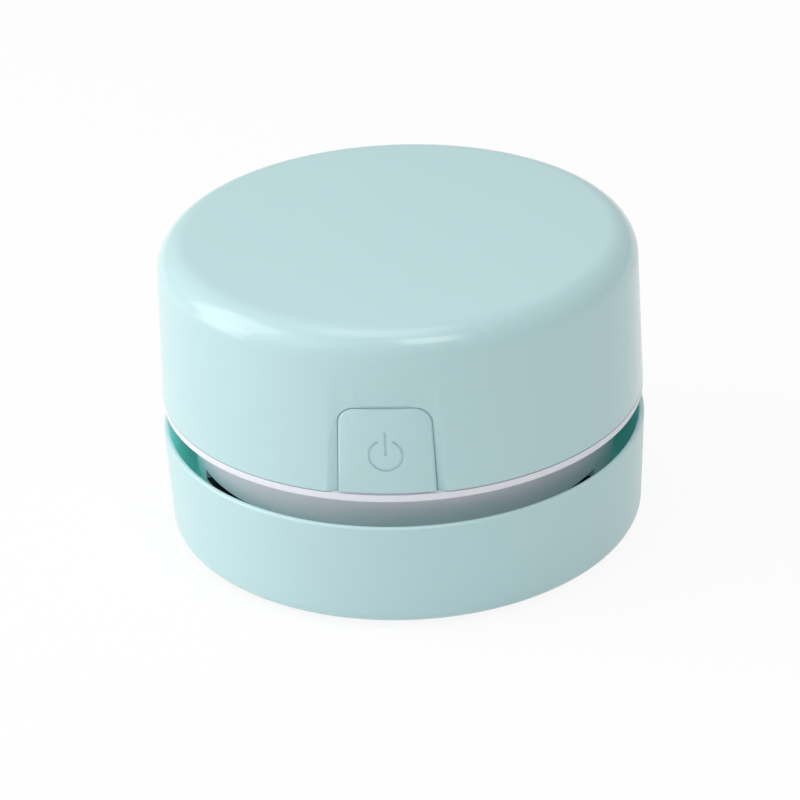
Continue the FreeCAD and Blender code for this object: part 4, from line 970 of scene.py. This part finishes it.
def make_housing():
    low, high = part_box("fan_housing")
    outer = high.x
    housing = turned("housing_shell", "white_shell", [
        (DECK_HOLE, DECK[0], ROUND),
        (SPIGOT[0], DECK[0], SMALL_ROUND),
        (SPIGOT[0], low.z, SMALL_ROUND),
        (SPIGOT[1], low.z, SMALL_ROUND),
        (SPIGOT[1], DECK[0], SMALL_ROUND),
        (SKIRT[1], DECK[0], ROUND),
        (SKIRT[1], RING_BOTTOM, RING_ROOT_ROUND),
        (outer, RING_BOTTOM, RING_LOWER_ROUND),
        (outer, STEP_LEVEL, RING_UPPER_ROUND),
        (STEP_RADIUS, STEP_LEVEL, 0),
        (STEP_RADIUS, RING_TOP, 0),
        (LOCATOR[1], RING_TOP, TIGHT_ROUND),
        (LOCATOR[1], LOCATOR_TOP, SMALL_ROUND),
        (LOCATOR[0], LOCATOR_TOP, SMALL_ROUND),
        (LOCATOR[0], RING_TOP, SMALL_ROUND),
        (SKIRT[0], RING_TOP, SMALL_ROUND),
        (SKIRT[0], DECK[1], SKIRT_FOOT_ROUND),
        (DECK_HOLE, DECK[1], ROUND),
    ])
    windows = sector("windows", "white_shell", WINDOW_RADII, WINDOW_LEVELS, *WINDOW_TURN, WINDOWS,
                     WINDOW_SEGMENTS)
    housing = merge(housing, windows)
    for x, y in ((-1, -1), (-1, 1), (1, -1), (1, 1)):
        housing = merge(housing, rod(SCREW_HOLE, x * SCREW_PLACE, y * SCREW_PLACE, *SCREW_LEVELS))
    lugs = sector("lugs", "white_shell", LUG_RADII, LUG_LEVELS, *LUG_TURN, LOCKS)
    housing = merge(housing, lugs, "UNION")
    gate = [(-GATE_HALF, RING_TOP), (GATE_HALF, RING_TOP), (GATE_HALF, GATE_TOP), (-GATE_HALF, GATE_TOP)]
    housing = merge(housing, prism("gate", gate, -outer - MM, -SKIRT[0]))
    show(housing, "white_shell", "power_unit", "fan_housing")


# ---- bristles and filter cloth ------------------------------------------------------------------

INSET = 0.02 * MM
CLOTH_MARGIN = 0.1 * MM
CLOTH_PITCH = 1.2 * MM
CLOTH_SWING = 0.5
THREAD_SHARE = 0.48


def bristle_recipe():
    """Rows of cut bristles on curved strips: a flat grid of spots bent round the axis."""
    recipe = Recipe("bristle_strips", Rows="Int", Along="Int", Radius="Float", Width="Float",
                    Span="Float", Copies="Int", Low="Float", Length="Float", Thickness="Float",
                    Lean="Float", Seed="Int", Material="Material")
    grid = recipe.node("GeometryNodeMeshGrid", {}, {
        "Size X": recipe.port("Width"), "Size Y": recipe.port("Span"),
        "Vertices X": recipe.port("Rows"), "Vertices Y": recipe.port("Along")})
    across, angle = recipe.here()[:2]
    middle = recipe.port("Length") * 0.5 + recipe.port("Low")
    bent = recipe.bent(across + recipe.port("Radius"), angle, middle)
    spots = recipe.node("GeometryNodeSetPosition", {}, {"Geometry": grid, "Position": bent})
    bristle = recipe.node("GeometryNodeMeshCylinder", {"fill_type": "NGON"}, {
        "Vertices": 5, "Radius": recipe.port("Thickness"), "Depth": recipe.port("Length")})
    tip = recipe.node("ShaderNodeCombineXYZ", {}, {"X": recipe.port("Lean"), "Y": recipe.port("Lean")})
    root = recipe.node("ShaderNodeVectorMath", {"operation": "SCALE"}, {0: tip, "Scale": -1.0})
    lean = recipe.node("FunctionNodeRandomValue", {"data_type": "FLOAT_VECTOR"}, {
        0: root, 1: tip, "Seed": recipe.port("Seed")})
    strip = recipe.node("GeometryNodeInstanceOnPoints", {}, {
        "Points": spots, "Instance": bristle, "Rotation": lean})
    recipe.closing(recipe.around(strip))
    return recipe


def make_bristles():
    low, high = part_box("brush_bristles")
    bristles = bristle_recipe().make(
        "bristles", bpy.data.meshes.new("nothing"), Rows=6, Along=52, Radius=22 * MM, Width=2.6 * MM,
        Span=math.radians(69), Copies=4, Low=low.z + INSET, Length=high.z - low.z - 2 * INSET,
        Thickness=0.15 * MM, Lean=0.03, Seed=4, Material=FINISHES["bristle_nylon"].material)
    show(bristles, "bristle_nylon", "dust_bowl", "brush_bristles")


def cloth_recipe():
    """A plain weave cut to a disc; its second set of threads is the first one turned by 90 degrees."""
    recipe = Recipe("woven_disc", Radius="Float", Pitch="Float", Rows="Int", Swing="Float",
                    Thickness="Float", Level="Float", Material="Material")
    pitch = recipe.port("Pitch")
    start = recipe.node("ShaderNodeCombineXYZ", {}, {"X": (0.5 - recipe.port("Rows") * 0.5) * pitch})
    step = recipe.node("ShaderNodeCombineXYZ", {}, {"X": pitch})
    rows = recipe.node("GeometryNodeMeshLine", {}, {
        "Count": recipe.port("Rows"), "Start Location": start, "Offset": step})
    x, y = recipe.here()[:2]
    radius = recipe.port("Radius")
    half = (radius * radius - x * x).maths("SQRT")
    size = recipe.node("ShaderNodeCombineXYZ", {}, {"X": 1.0, "Y": half, "Z": 1.0})
    thread = recipe.node("GeometryNodeCurvePrimitiveLine", {}, {"Start": (0, -1, 0), "End": (0, 1, 0)})
    laid = recipe.node("GeometryNodeInstanceOnPoints", {}, {
        "Points": rows, "Instance": thread, "Scale": size})
    real = recipe.node("GeometryNodeRealizeInstances", {}, {"Geometry": laid})
    fine = recipe.node("GeometryNodeResampleCurve", {"mode": "LENGTH"}, {
        "Curve": real, "Length": pitch / 3})
    wave = (x * math.pi / pitch).maths("SINE") * (y * math.pi / pitch).maths("SINE")
    lift = recipe.node("ShaderNodeCombineXYZ", {}, {"Z": wave * recipe.port("Swing")})
    waved = recipe.node("GeometryNodeSetPosition", {}, {"Geometry": fine, "Offset": lift})
    section = recipe.node("GeometryNodeCurvePrimitiveCircle", {}, {
        "Resolution": 4, "Radius": recipe.port("Thickness")})
    warp = recipe.node("GeometryNodeCurveToMesh", {}, {
        "Curve": waved, "Profile Curve": section, "Fill Caps": True})
    weft = recipe.node("GeometryNodeTransform", {}, {"Geometry": warp, "Rotation": (0, 0, math.pi / 2)})
    both = recipe.node("GeometryNodeJoinGeometry", {}, {0: [warp, weft]})
    up = recipe.node("ShaderNodeCombineXYZ", {}, {"Z": recipe.port("Level")})
    placed = recipe.node("GeometryNodeTransform", {}, {"Geometry": both, "Translation": up})
    recipe.closing(placed)
    return recipe


def make_cloth():
    low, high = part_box("filter_mesh")
    half = (high.z - low.z) / 2
    cloth = cloth_recipe().make(
        "woven_cloth", bpy.data.meshes.new("nothing"), Radius=high.x - CLOTH_MARGIN, Pitch=CLOTH_PITCH,
        Rows=2 * int(high.x / CLOTH_PITCH), Swing=half * CLOTH_SWING, Thickness=half * THREAD_SHARE,
        Level=(low.z + high.z) / 2, Material=FINISHES["filter_cloth"].material)
    show(cloth, "filter_cloth", "power_unit", "filter_mesh")


# ---- the whole ----------------------------------------------------------------------------------

bpy.context.scene.view_settings.view_transform = "Standard"
make_camera()
make_sky()
for lamp_name, (lamp_place, lamp_side, lamp_power) in LAMPS.items():
    make_lamp(lamp_name, lamp_place, lamp_side, lamp_power)
make_floor()
finish_nodes()
make_cover()
make_button()
make_bowl()
make_housing()
make_bristles()
make_cloth()
